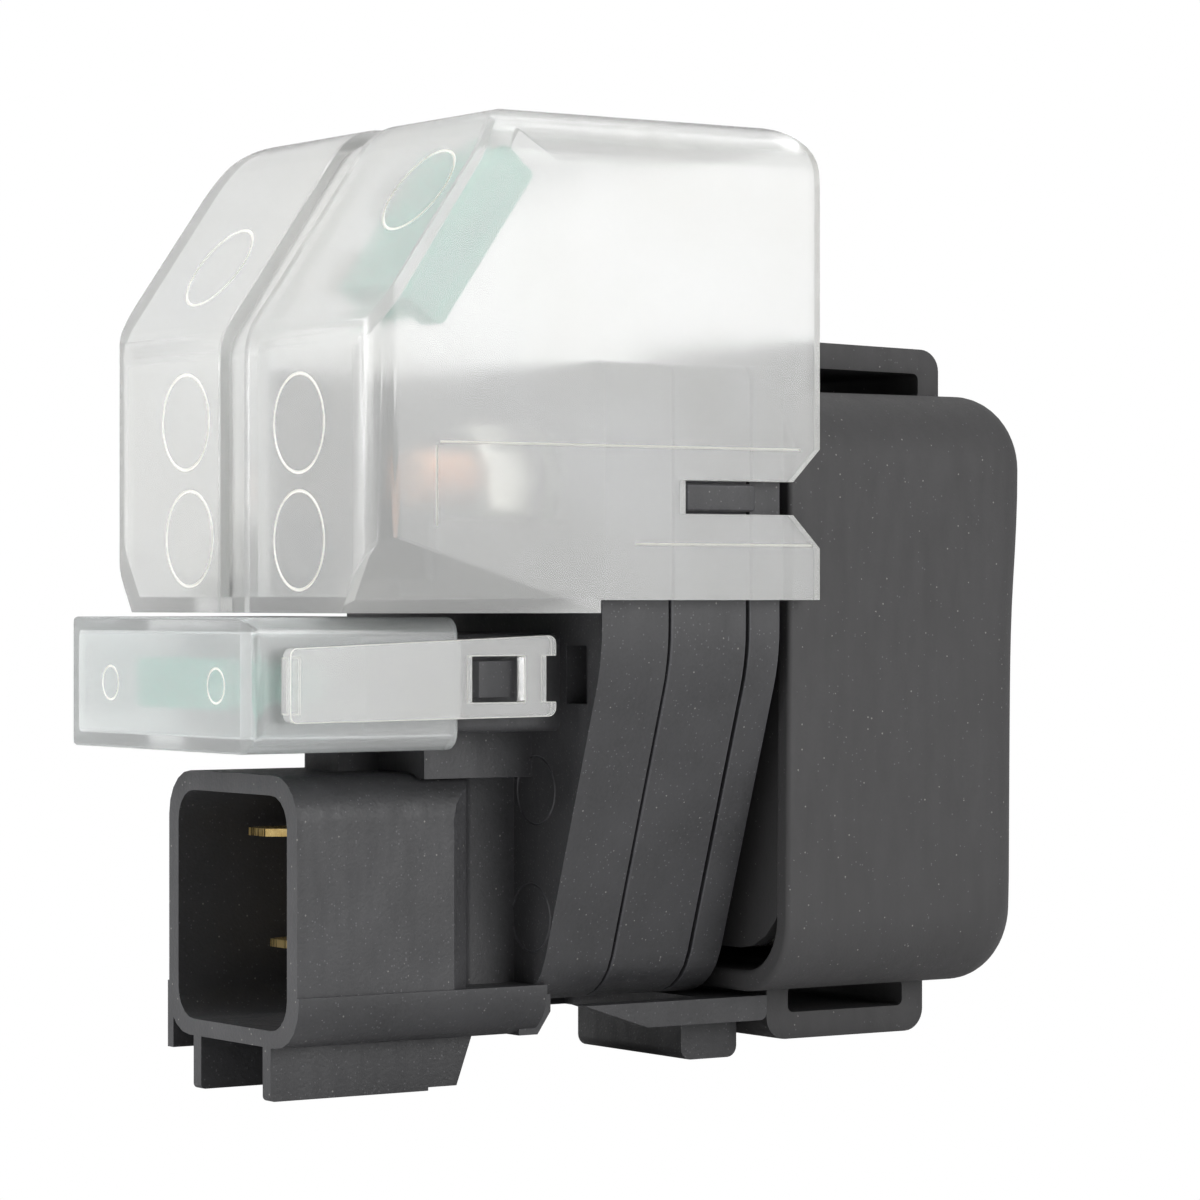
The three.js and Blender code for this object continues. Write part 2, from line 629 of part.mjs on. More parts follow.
function middleHousing() {
  const start = shell.frontEnd + GAP;
  const ring = alongX(shellOutline(), start, shell.middleEnd);
  const ribHalf = shellTopWidth / 2;
  const ribReach = cover.width / 2 - 0.5;
  const rib = box(cover.slotStart + 0.5, shell.middleEnd, ribHalf - 1, ribReach,
    cover.slotLow + GAP, cover.slotHigh - GAP);
  return joined([ring, rib, mirroredInY(rib)]).subtract(chamberSpace(start - 1, shell.middleEnd + 1));
}

const rodPassage = 6;

function rearHousing() {
  return alongX(shellOutline(), shell.middleEnd + GAP, shell.rearEnd)
    .subtract(rod(shell.middleEnd - 1, shell.rearEnd + 1, rodPassage, 0, solenoid.axisHeight));
}

addPiece('housing_front', frontHousing(), 'blackMoulding');
addPiece('housing_middle', middleHousing(), 'blackMoulding');
addPiece('housing_rear', rearHousing(), 'blackMoulding');

// ---------------------------------------------------------------- clasp under the housing

function housingClasp() {
  const { noseStart, noseEnd, end, halfWidth, railWidth, thickness } = clasp;
  const { hookStart, hookEnd, hookDrop, hookHalfWidth } = clasp;
  const top = shell.bottom - GAP;
  const low = top - thickness;
  const side = outline([[noseStart, top], [noseEnd, low], [end, low, 0.8], [end, top]]);
  const rail = alongY(side, halfWidth - railWidth, halfWidth);
  const cross = alongY(roundedRect(hookStart, hookEnd, low - hookDrop, top, 1.2),
    -hookHalfWidth, hookHalfWidth);
  const tie = box(hookStart, hookEnd, -halfWidth + 1, halfWidth - 1, low, top);
  return joined([rail, mirroredInY(rail), cross, tie]);
}

addPiece('housing_clasp', housingClasp(), 'blackMoulding');

// ---------------------------------------------------------------- connector blades and fuse clips

function connectorBlade({ y, z, tip }) {
  const half = blade.width / 2;
  const tail = blade.tailWidth / 2;
  const shoulder = socket.floor - GAP;
  const plan = outline([
    [tip, y - half + 1.4], [tip + 2, y - half], [shoulder, y - half], [shoulder, y - tail],
    [bladeBack, y - tail], [bladeBack, y + tail],
    [shoulder, y + tail], [shoulder, y + half], [tip + 2, y + half], [tip, y + half - 1.4],
  ]);
  return alongZ(plan, z - blade.thickness / 2, z + blade.thickness / 2);
}

bladePlaces().forEach((place) => addPiece(place.name, connectorBlade(place), 'brass'));

function fuseClip(side) {
  const middle = (side * bladeFuse.bladeSpacing) / 2;
  const { halfWidth, halfHeight, start, end } = clipReach;
  const slit = bladeFuse.bladeThickness / 2 + GAP;
  return box(start, end, middle - halfWidth, middle + halfWidth,
    fuseHeight - halfHeight, fuseHeight + halfHeight)
    .subtract(box(start - 1, end - 6, middle - halfWidth - 1, middle + halfWidth + 1,
      fuseHeight - slit, fuseHeight + slit));
}

addPiece('fuse_clip_near', fuseClip(-1), 'brass');
addPiece('fuse_clip_far', fuseClip(1), 'brass');

// ---------------------------------------------------------------- main terminals, one in each bay

const contactFace = chamber.start + GAP + fixedContact.thickness;

function terminalStud(y) {
  const shankEnd = contactFace + GAP;
  return turned([
    [stud.end, 0], [stud.end, stud.radius - 0.6], [stud.end + 0.6, stud.radius], [shankEnd, stud.radius],
    [shankEnd, stud.headRadius],
    [shankEnd + stud.headLength, stud.headRadius], [shankEnd + stud.headLength, 0],
  ], y, stud.height);
}

function contactBar(y) {
  const { thickness, halfWidth, low, high } = fixedContact;
  const start = chamber.start + GAP;
  return alongX(roundedRect(y - halfWidth, y + halfWidth, low, high, 1.5), start, start + thickness)
    .subtract(rod(start - 1, start + thickness + 1, stud.radius + GAP, y, stud.height));
}

function splitRing(x0, x1, y) {
  const ring = tube(x0, x1, stud.radius + GAP, springWasher.radius, y, stud.height);
  const half = springWasher.split / 2;
  return ring.subtract(box(x0 - 1, x1 + 1, y - half, y + half,
    stud.height, stud.height + springWasher.radius + 1));
}

function hexNut(x1, y) {
  const corner = nut.acrossFlats / 2 / Math.cos(Math.PI / 6);
  const x0 = x1 - nut.thickness;
  const chamfer = 0.7;
  const hexagon = rod(x0, x1, corner, y, stud.height, 6);
  const dome = turned([
    [x0, 0], [x0, corner - chamfer], [x0 + chamfer * 0.6, corner], [x1 - chamfer * 0.6, corner],
    [x1, corner - chamfer], [x1, 0],
  ], y, stud.height);
  return hexagon.intersect(dome).subtract(rod(x0 - 1, x1 + 1, stud.radius + GAP, y, stud.height));
}

for (const [side, label] of [[-1, 'near'], [1, 'far']]) {
  const y = (side * stud.pitch) / 2;
  const washerEnd = shell.front - GAP;
  const springEnd = washerEnd - flatWasher.thickness - GAP;
  const nutEnd = springEnd - springWasher.thickness - GAP;
  addPiece(`terminal_stud_${label}`, terminalStud(y), 'copper');
  addPiece(`fixed_contact_${label}`, contactBar(y), 'copper');
  addPiece(`flat_washer_${label}`,
    tube(washerEnd - flatWasher.thickness, washerEnd, stud.radius + GAP, flatWasher.radius, y, stud.height),
    'zincSteel');
  addPiece(`spring_washer_${label}`,
    splitRing(springEnd - springWasher.thickness, springEnd, y), 'springSteel');
  addPiece(`terminal_nut_${label}`, hexNut(nutEnd, y), 'zincSteel');
}

// ---------------------------------------------------------------- moving contact and plunger

const bridgeFront = contactFace + GAP + bridge.travel;
const bridgeBack = bridgeFront + bridge.thickness;
const collar = { start: bridgeBack + 7, thickness: 1.5, radius: 4.2 };
const plungerFront = solenoid.coreEnd + solenoid.airGap;
const rodEnd = plungerFront + 5.6;
const axis = solenoid.axisHeight;

function contactBridge() {
  const plate = box(bridgeFront, bridgeBack, -bridgeHalfLength, bridgeHalfLength,
    axis - bridge.halfWidth, axis + bridge.halfWidth);
  return plate.subtract(rod(bridgeFront - 1, bridgeBack + 1, solenoid.rodRadius + GAP, 0, axis));
}

function plungerRod() {
  const radius = solenoid.rodRadius;
  const tipX = bridgeFront - 1.9;
  return turned([
    [tipX, 0], [tipX, radius], [collar.start, radius], [collar.start, collar.radius],
    [collar.start + collar.thickness, collar.radius], [collar.start + collar.thickness, radius],
    [rodEnd, radius], [rodEnd, 0],
  ], 0, axis);
}

// a round-wire coil spring about the solenoid's axis
function coilSpring(x0, x1, meanRadius, wire, turns) {
  const span = x1 - x0 - wire;
  class Helix extends THREE.Curve {
    getPoint(t, target = new THREE.Vector3()) {
      const angle = 2 * Math.PI * turns * t;
      return target.set(
        x0 + wire / 2 + span * t, meanRadius * Math.cos(angle), axis + meanRadius * Math.sin(angle));
    }
  }
  const section = new THREE.Shape();
  const sides = 6;
  for (let k = 0; k < sides; k += 1) {
    const angle = (2 * Math.PI * k) / sides;
    const point = [wire / 2 * Math.cos(angle), wire / 2 * Math.sin(angle)];
    if (k === 0) section.moveTo(...point);
    else section.lineTo(...point);
  }
  section.closePath();
  const steps = Math.round(turns * 14);
  return solidFrom(new THREE.ExtrudeGeometry(section, { extrudePath: new Helix(), steps }));
}

addPiece('contact_bridge', contactBridge(), 'copper');
addPiece('contact_retainer',
  tube(bridgeFront - GAP - 0.8, bridgeFront - GAP, solenoid.rodRadius + GAP, 3.4, 0, axis), 'springSteel');
addPiece('contact_spring', coilSpring(bridgeBack + GAP, collar.start - GAP, 3.2, 0.8, 4), 'springSteel');
addPiece('plunger_rod', plungerRod(), 'zincSteel');

function plunger() {
  const end = bobbinEnd - 0.4;
  return rod(plungerFront, end, solenoid.coreRadius - 0.1, 0, axis)
    .subtract(rod(plungerFront - 1, rodEnd + GAP, solenoid.rodRadius + GAP, 0, axis));
}

const springSeat = { start: solenoid.coreEnd - 5, radius: 4.4 };

function fixedCore() {
  const start = shell.rearEnd + GAP;
  return cutBy(rod(start, solenoid.coreEnd, solenoid.coreRadius, 0, axis), [
    rod(start - 1, solenoid.coreEnd + 1, solenoid.rodRadius + 0.4, 0, axis),
    rod(springSeat.start, solenoid.coreEnd + 1, springSeat.radius, 0, axis),
  ]);
}

addPiece('plunger', plunger(), 'zincSteel');
addPiece('fixed_core', fixedCore(), 'zincSteel');
addPiece('return_spring',
  coilSpring(springSeat.start + GAP, plungerFront - GAP, 3.2, 0.9, 4), 'springSteel');

// ---------------------------------------------------------------- coil and can

function bobbin() {
  const { bobbinStart, flangeThickness, hubWall, coreRadius } = solenoid;
  const bore = coreRadius + GAP;
  const hub = bore + hubWall;
  return turned([
    [bobbinStart, bore], [bobbinStart, flangeRadius], [bobbinStart + flangeThickness, flangeRadius],
    [bobbinStart + flangeThickness, hub], [bobbinEnd - flangeThickness, hub],
    [bobbinEnd - flangeThickness, flangeRadius], [bobbinEnd, flangeRadius],
    [bobbinEnd, bore], [bobbinStart, bore],
  ], 0, axis);
}

function winding() {
  const { bobbinStart, flangeThickness, hubWall, coreRadius } = solenoid;
  return tube(bobbinStart + flangeThickness + GAP, bobbinEnd - flangeThickness - GAP,
    coreRadius + 2 * GAP + hubWall, windingRadius, 0, axis);
}

function canOutline(inset) {
  const wide = can.halfWidth - inset;
  const tall = can.halfHeight - inset;
  return roundedRect(-wide, wide, axis - tall, axis + tall, solenoid.canRadius - inset);
}

const canStart = solenoid.canStart;

function solenoidCan() {
  return alongX(canOutline(0), canStart, can.end)
    .subtract(alongX(canOutline(solenoid.canWall), canStart - 1, can.end - solenoid.canWall));
}

function fluxPlate() {
  const thickness = 2.6;
  return alongX(canOutline(solenoid.canWall + GAP), canStart, canStart + thickness)
    .subtract(rod(canStart - 1, canStart + thickness + 1, solenoid.coreRadius + GAP, 0, axis));
}

// the rubber washer that closes the boot's mouth round the core
function mouthSeal() {
  const end = canStart - GAP;
  return alongX(canOutline(0), end - mouthSealThickness, end)
    .subtract(rod(end - mouthSealThickness - 1, end + 1, solenoid.coreRadius + GAP, 0, axis));
}

addPiece('coil_bobbin', bobbin(), 'naturalNylon');
addPiece('coil_winding', winding(), 'enamelledWire');
addPiece('flux_plate', fluxPlate(), 'zincSteel');
addPiece('solenoid_can', solenoidCan(), 'zincSteel');
addPiece('boot_mouth_seal', mouthSeal(), 'rubber');

// ---------------------------------------------------------------- rubber boot with its two strap loops

function loop(x0, x1, up) {
  const { loopHalfWidth, loopWall, slotHeight, low, high } = boot;
  const reach = slotHeight + loopWall;
  const z0 = up ? high - 1 : low - reach;
  const z1 = up ? high + reach : low + 1;
  return alongY(roundedRect(x0, x1, z0, z1, 1.6), -loopHalfWidth, loopHalfWidth);
}

function loopSlot(x0, x1, up) {
  const { loopHalfWidth, loopWall, slotHeight, low, high } = boot;
  const z0 = up ? high : low - slotHeight;
  return box(x0 + loopWall, x1 - loopWall, -loopHalfWidth - 1, loopHalfWidth + 1, z0, z0 + slotHeight);
}

const upperStart = boot.loopStart + boot.upperShift;
const upperLoop = [upperStart, upperStart + boot.loopLength, true];
const lowerLoop = [boot.loopStart, boot.loopStart + boot.loopLength, false];

function rubberBoot() {
  const { front, end, halfWidth, low, high, cornerRadius, rearRadius } = boot;
  const sleeve = alongX(roundedRect(-halfWidth, halfWidth, low, high, cornerRadius), front, end)
    .intersect(alongZ(outline([
      [front, -halfWidth], [end, -halfWidth, rearRadius], [end, halfWidth, rearRadius], [front, halfWidth],
    ]), low, high))
    .intersect(alongY(outline([
      [front, low], [end, low, rearRadius], [end, high, rearRadius], [front, high],
    ]), -halfWidth, halfWidth));
  return cutBy(joined([sleeve, loop(...upperLoop), loop(...lowerLoop)]), [
    loopSlot(...upperLoop), loopSlot(...lowerLoop),
    alongX(canOutline(-GAP), front - 1, can.end + GAP),
  ]);
}

addPiece('rubber_boot', rubberBoot(), 'rubber');

// ---------------------------------------------------------------- origin on the bracket tab's bearing face

relay.position.set(-(upperLoop[0] + upperLoop[1]) / 2, 0, -(boot.high + boot.slotHeight));

export default relay;
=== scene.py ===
import logging
import math
from dataclasses import dataclass
from enum import Enum
from typing import Iterable, Sequence

import bmesh
import bpy
import numpy as np
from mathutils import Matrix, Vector


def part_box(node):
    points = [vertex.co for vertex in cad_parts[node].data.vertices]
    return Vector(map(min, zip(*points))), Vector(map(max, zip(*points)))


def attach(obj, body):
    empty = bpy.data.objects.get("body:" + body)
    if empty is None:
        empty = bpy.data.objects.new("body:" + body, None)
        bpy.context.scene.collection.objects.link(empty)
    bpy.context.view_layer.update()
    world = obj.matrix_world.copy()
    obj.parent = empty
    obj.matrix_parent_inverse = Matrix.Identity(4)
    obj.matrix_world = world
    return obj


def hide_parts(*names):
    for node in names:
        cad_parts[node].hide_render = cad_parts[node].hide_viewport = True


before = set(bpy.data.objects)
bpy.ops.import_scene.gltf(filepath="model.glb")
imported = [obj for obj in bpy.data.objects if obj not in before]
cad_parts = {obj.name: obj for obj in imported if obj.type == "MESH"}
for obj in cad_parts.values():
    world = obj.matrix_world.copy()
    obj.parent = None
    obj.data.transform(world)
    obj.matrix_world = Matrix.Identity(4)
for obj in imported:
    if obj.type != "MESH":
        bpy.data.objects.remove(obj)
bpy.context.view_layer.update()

MM = 0.001
FLOOR_DROP = 1.3  # the cover's floor lies this far below its lower edge, in millimetres
MERGE = 1e-6  # points nearer than this many metres become one
CAD_MERGE = 2e-6  # the same for the loose triangles of a CAD node
FLAT_ANGLE = 0.6  # triangles that meet at less than this many degrees become one face
CLEAR_ANGLE = 42.0  # on a clear moulding, edges sharper than this many degrees are rounded
CLEAR_SEGMENTS = 3  # faces across the rounding of a clear moulding
PLAIN = 0  # material number of a piece's own surface
EDGE = 1  # material number of its rounded edges and fine grooves, which can take a lighter copy of the finish, a painted highlight
FORWARD = (-1.0, 0.0, 0.0)  # the way that the socket and the covers face
LOG = logging.getLogger("relay")
Colour = tuple[float, float, float]
Point = tuple[float, float, float]
Faces = list[tuple[int, ...]]
Solid = tuple[np.ndarray, Faces]
Object = bpy.types.Object
Material = bpy.types.Material
Tree = bpy.types.NodeTree
Node = bpy.types.Node
Socket = bpy.types.NodeSocket


class Slot(Enum):
    """The record's material slots, by name."""

    CLEAR = "clear_cover"
    BLACK = "black_moulding"
    RUBBER = "rubber"
    FUSE = "green_fuse"
    COPPER = "copper"
    ZINC = "zinc_steel"


class Body(Enum):
    """The moving bodies of the relay."""

    RELAY = "relay"
    COVER = "terminal_cover"
    FUSE_COVER = "fuse_cover"
    ARM_NEAR = "latch_arm_near"
    ARM_FAR = "latch_arm_far"
    NUT_NEAR = "terminal_nut_near"
    NUT_FAR = "terminal_nut_far"


class Side(Enum):
    """The two sides of the middle plane, by the words that end their pieces' names."""

    NEAR = "near"
    FAR = "far"

    @property
    def sign(self) -> float:
        """The sign of y on this side."""
        return -1.0 if self is Side.NEAR else 1.0


class Joining(Enum):
    """How a second solid changes a piece."""

    ADD = "UNION"
    CUT = "DIFFERENCE"


# ------------------------------------------------------------------ places


def cover_corner() -> Vector:
    """The working origin: the cover's front face, the middle plane and the cover's lower edge."""
    low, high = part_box("terminal_cover")
    return Vector((low.x, (low.y + high.y) / 2, low.z + FLOOR_DROP * MM))


ORIGIN = np.array(cover_corner())


def placed(points: np.ndarray) -> np.ndarray:
    """Turns points in millimetres from the working origin into metres in the shared frame.

    Args:
        points: array whose last axis is x, y, z in millimetres.

    Returns:
        The same array in metres.
    """
    return points * MM + ORIGIN


# ------------------------------------------------------------------ meshes


def grid_quads(rows: int, columns: int, wrap: bool) -> Faces:
    """Quads of a grid whose vertex number is row * columns + column.

    Args:
        rows: points along the first parameter.
        columns: points along the second parameter.
        wrap: whether the second parameter closes on itself.

    Returns:
        The quads as tuples of vertex numbers.
    """
    r = np.arange(rows - 1)[:, None]
    c = np.arange(columns if wrap else columns - 1)[None, :]
    d = (c + 1) % columns
    quads = np.stack(np.broadcast_arrays(
        r * columns + c, r * columns + d, (r + 1) * columns + d, (r + 1) * columns + c), -1)
    return [tuple(q) for q in quads.reshape(-1, 4).tolist()]


def capped_tube(rings: np.ndarray) -> Solid:
    """Closes a stack of rings, shape (rows, columns, 3), with a face at each end.

    Args:
        rings: the ring points, one row per ring.

    Returns:
        Flat points and faces.
    """
    rows, columns = rings.shape[:2]
    faces = grid_quads(rows, columns, True)
    faces.append(tuple(range(columns))[::-1])
    faces.append(tuple(range((rows - 1) * columns, rows * columns)))
    return rings.reshape(-1, 3), faces


def closed_band(rings: np.ndarray) -> Solid:
    """Joins the last ring of a stack to its first, as on a loop or a torus.

    Args:
        rings: the ring points, one row per ring, without the repeated last ring.

    Returns:
        Flat points and faces.
    """
    rows, columns = rings.shape[:2]
    count = rows * columns
    faces = grid_quads(rows + 1, columns, True)
    return rings.reshape(-1, 3), [tuple(v % count for v in f) for f in faces]


def new_object(name: str, points: np.ndarray, faces: Faces, tone: int = PLAIN) -> Object:
    """Puts points in millimetres and faces into a new object at the origin, normals outwards.

    Args:
        name: the object's name.
        points: (n, 3) array in millimetres from the working origin.
        faces: vertex numbers of each face.
        tone: material number of its faces.

    Returns:
        The new object.
    """
    mesh = bpy.data.meshes.new(name)
    mesh.from_pydata(placed(points).tolist(), [], faces)
    work = bmesh.new()
    work.from_mesh(mesh)
    bmesh.ops.remove_doubles(work, verts=work.verts, dist=MERGE)
    bmesh.ops.recalc_face_normals(work, faces=work.faces)
    work.to_mesh(mesh)
    work.free()
    mesh.polygons.foreach_set("material_index", np.full(len(mesh.polygons), tone, np.int32))
    item = bpy.data.objects.new(name, mesh)
    bpy.context.scene.collection.objects.link(item)
    return item


def smooth(item: Object, angle: float = 32.0) -> None:
    """Shades smooth, with sharp edges left crisp and broad faces kept flat.

    Args:
        item: the piece.
        angle: edges sharper than this many degrees stay crisp.
    """
    item.data.polygons.foreach_set("use_smooth", np.ones(len(item.data.polygons), bool))
    item.data.set_sharp_from_angle(angle=math.radians(angle))
    if "even_normals" not in item.modifiers:
        even = item.modifiers.new("even_normals", "WEIGHTED_NORMAL")
        even.keep_sharp = True


def combine(item: Object, tool: Object, joining: Joining) -> None:
    """Applies an exact boolean of the tool to the item and removes the tool.

    Args:
        item: the piece that is changed.
        tool: the solid that cuts it or is added to it.
        joining: whether the tool is added or cut away.
    """
    step = item.modifiers.new("combine", "BOOLEAN")
    step.operation = joining.value
    step.object = tool
    step.solver = "EXACT"
    done = item.evaluated_get(bpy.context.evaluated_depsgraph_get())
    mesh = bpy.data.meshes.new_from_object(done)
    item.modifiers.clear()
    item.data = mesh
    bpy.data.objects.remove(tool)


def softened(
    node: str, width: float, angle: float = 28.0, segments: int = 2, tone: int = EDGE
) -> Object:
    """Copies a CAD node, joins its loose triangles and rounds its sharp edges.

    Faces made by the rounding can have their own material number, so that edges can take a lighter tone,
    a painted highlight.

    Args:
        node: the CAD node.
        width: width of the rounding in millimetres.
        angle: edges sharper than this many degrees are rounded.
        segments: faces across each rounding.
        tone: material number of the faces made by the rounding.

    Returns:
        The new piece, standing for the node.
    """
    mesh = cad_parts[node].data.copy()
    mesh.materials.clear()
    work = bmesh.new()
    work.from_mesh(mesh)
    bmesh.ops.remove_doubles(work, verts=work.verts, dist=CAD_MERGE)
    flat, crisp = math.radians(FLAT_ANGLE), math.radians(angle)
    bmesh.ops.dissolve_limit(work, angle_limit=flat, verts=work.verts, edges=work.edges)
    sharp = [e for e in work.edges if e.is_manifold and e.calc_face_angle(0.0) > crisp]
    for face in work.faces:
        face.material_index = PLAIN
    made = bmesh.ops.bevel(
        work, geom=sharp, offset=width * MM, offset_type="OFFSET", segments=segments,
        profile=0.5, clamp_overlap=True, affect="EDGES", material=tone)
    LOG.debug("%s: %d rounding faces", node, len(made["faces"]))
    bmesh.ops.remove_doubles(work, verts=work.verts, dist=MERGE)
    work.to_mesh(mesh)
    work.free()
    item = bpy.data.objects.new("look_" + node, mesh)
    bpy.context.scene.collection.objects.link(item)
    smooth(item)
    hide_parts(node)
    return item


def finish_piece(item: Object, body: Body, materials: Iterable[Material]) -> None:
    """Hangs a new piece on its body and gives it its materials.

    Args:
        item: the new piece, whose faces keep their material numbers.
        body: the body that it moves with.
        materials: its materials in the order of their numbers.
    """
    mesh = item.data
    tones = np.zeros(len(mesh.polygons), np.int32)
    mesh.polygons.foreach_get("material_index", tones)
    mesh.materials.clear()
    for material in materials:
        mesh.materials.append(material)
    last = len(mesh.materials) - 1
    mesh.polygons.foreach_set("material_index", np.clip(tones, 0, last).astype(np.int32))
    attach(item, body.value)
    LOG.info("%s rides on %s, %d faces", item.name, body.value, len(item.data.polygons))


def dress(node: str, material: Material) -> None:
    """Gives a CAD node that keeps its shape a new material.

    Args:
        node: the CAD node.
        material: its new material.
    """
    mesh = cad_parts[node].data
    mesh.materials.clear()
    mesh.materials.append(material)
    LOG.info("%s keeps its CAD shape", node)


@dataclass(frozen=True)
class Ring:
    """A round witness mark of an ejector pin, cut as a fine groove."""

    centre: Point
    normal: Point
    radius: float
    groove: float = 0.16
    around: int = 48
    through: int = 8

    def solid(self) -> Solid:
        """Works out the groove as a torus over a grid of a and b.

        Its points are centre + (R + r cos b)(u cos a + v sin a) + n r sin b.

        Returns:
            Points in millimetres and faces.
        """
        n = np.array(self.normal, float)
        n /= np.linalg.norm(n)
        u = np.cross(n, (0.0, 1.0, 0.0) if abs(n[1]) < 0.9 else (1.0, 0.0, 0.0))
        u /= np.linalg.norm(u)
        v = np.cross(n, u)
        a = np.linspace(0, 2 * np.pi, self.around, endpoint=False)[:, None, None]
        b = np.linspace(0, 2 * np.pi, self.through, endpoint=False)[None, :, None]
        out = (u * np.cos(a) + v * np.sin(a)) * (self.radius + self.groove * np.cos(b))
        return closed_band(np.array(self.centre) + out + n * self.groove * np.sin(b))


@dataclass(frozen=True)
class Line:
    """A fine straight groove between two points on a surface, cut by a thin bar."""

    start: Point
    end: Point
    radius: float
    sides: int = 6

    def solid(self) -> Solid:
        """Works out the bar over a grid of t and b.

        Its points are start + (end - start) t + radius (u cos b + v sin b).

        Returns:
            Points in millimetres and faces.
        """
        a, b = np.array(self.start, float), np.array(self.end, float)
        along = (b - a) / np.linalg.norm(b - a)
        u = np.cross(along, (0.13, 0.7, 0.71))
        u /= np.linalg.norm(u)
        v = np.cross(along, u)
        turn = np.linspace(0, 2 * np.pi, self.sides, endpoint=False)[None, :, None]
        t = np.array([0.0, 1.0])[:, None, None]
        return capped_tube(a + (b - a) * t + self.radius * (u * np.cos(turn) + v * np.sin(turn)))


def carve(item: Object, marks: Sequence[Ring | Line]) -> None:
    """Cuts the grooves of several marks of one kind into a piece.

    Args:
        item: the piece.
        marks: the marks, which don't cross each other's grooves.
    """
    points: list[np.ndarray] = []
    faces: Faces = []
    count = 0
    for flat, sides in (mark.solid() for mark in marks):
        points.append(flat)
        faces += [tuple(v + count for v in face) for face in sides]
        count += len(flat)
    combine(item, new_object("groove_tool", np.concatenate(points), faces, EDGE), Joining.CUT)


@dataclass(frozen=True)
class RoundedSection:
    """A rounded rectangle cut into points that keep their places as it shrinks.

    Each point is (s (half_u - r) + r cos a, t (half_v - r) + r sin a), where s and t run from -1 to 1
    along the straight sides and stay at a corner while the angle a turns.
    """

    arc: int = 10
    side: int = 12

    def weights(self) -> tuple[np.ndarray, np.ndarray, np.ndarray]:
        """Works out the arrays of the formula, anticlockwise from the top of the right side.

        Returns:
            The arrays s, t and a, with a value for each point.
        """
        corners = [(1, 1, 0.0), (-1, 1, 0.5), (-1, -1, 1.0), (1, -1, 1.5)]
        s, t, a = [], [], []
        for k, (cs, ct, base) in enumerate(corners):
            angle = (base + np.linspace(0, 0.5, self.arc + 1)) * np.pi
            s.append(np.full(self.arc + 1, float(cs)))
            t.append(np.full(self.arc + 1, float(ct)))
            a.append(angle)
            ns, nt, _ = corners[(k + 1) % 4]
            step = np.linspace(0, 1, self.side + 1)[1:-1]
            s.append(cs + (ns - cs) * step)
            t.append(ct + (nt - ct) * step)
            a.append(np.full(self.side - 1, angle[-1]))
        return np.concatenate(s), np.concatenate(t), np.concatenate(a)

    def rings(
        self, half_u: Sequence[float], half_v: Sequence[float], radius: Sequence[float]
    ) -> tuple[np.ndarray, np.ndarray]:
        """The section at several sizes.

        Args:
            half_u: half widths, one per ring.
            half_v: half heights, one per ring.
            radius: corner radii, one per ring.

        Returns:
            Arrays u and v of shape (rings, points).
        """
        s, t, a = self.weights()
        hu, hv, r = (np.asarray(q, float)[:, None] for q in (half_u, half_v, radius))
        return s * (hu - r) + r * np.cos(a), t * (hv - r) + r * np.sin(a)


# ------------------------------------------------------------------ shader groups


class Shader:
    """A short way to add nodes and links to one node tree."""

    def __init__(self, tree: Tree) -> None:
        """Keeps the tree."""
        self.tree = tree

    def node(self, kind: str, inputs: dict | None = None, **settings: object) -> Node:
        """Adds a node, sets its properties, and sets or links its inputs.

        Args:
            kind: the node's type without the ShaderNode prefix.
            inputs: input name or number to a value or an output socket.
            **settings: properties of the node.

        Returns:
            The node.
        """
        made = self.tree.nodes.new("ShaderNode" + kind)
        for key, value in settings.items():
            setattr(made, key, value)
        for key, value in (inputs or {}).items():
            self.give(made.inputs[key], value)
        return made

    def give(self, socket: Socket, value: object) -> None:
        """Sets an input socket to a value, or links an output to it.

        Args:
            socket: the input.
            value: a plain value or an output socket.
        """
        if isinstance(value, Socket):
            self.tree.links.new(value, socket)
        else:
            socket.default_value = value

    def math(self, operation: str, *values: object) -> Socket:
        """Adds a Math node.

        Args:
            operation: what it works out.
            *values: its inputs in order, numbers or sockets.

        Returns:
            Its output.
        """
        return self.node("Math", dict(enumerate(values)), operation=operation).outputs[0]

    def mix(self, factor: object, first: object, second: object) -> Socket:
        """Mixes two colours, by the numbered sockets that a Mix node has for them.

        Args:
            factor: share of the second colour, a number or a socket.
            first: the first colour or socket.
            second: the second colour or socket.

        Returns:
            The mixed colour.
        """
        made = self.node("Mix", data_type="RGBA")
        self.give(made.inputs[0], factor)
        for key, colour in ((6, first), (7, second)):
            self.give(made.inputs[key], colour if isinstance(colour, Socket) else (*colour, 1.0))
        return made.outputs[2]

    def spread(
        self, value: object, low: float, high: float, to_low: float = 0.0, to_high: float = 1.0
    ) -> Socket:
        """Maps a value from one range to another, held at the ends.

        Args:
            value: the value's socket.
            low: start of its range.
            high: end of its range.
            to_low: what the start becomes.
            to_high: what the end becomes.

        Returns:
            The new value.
        """
        inputs = {0: value, 1: low, 2: high, 3: to_low, 4: to_high}
        return self.node("MapRange", inputs, clamp=True).outputs[0]


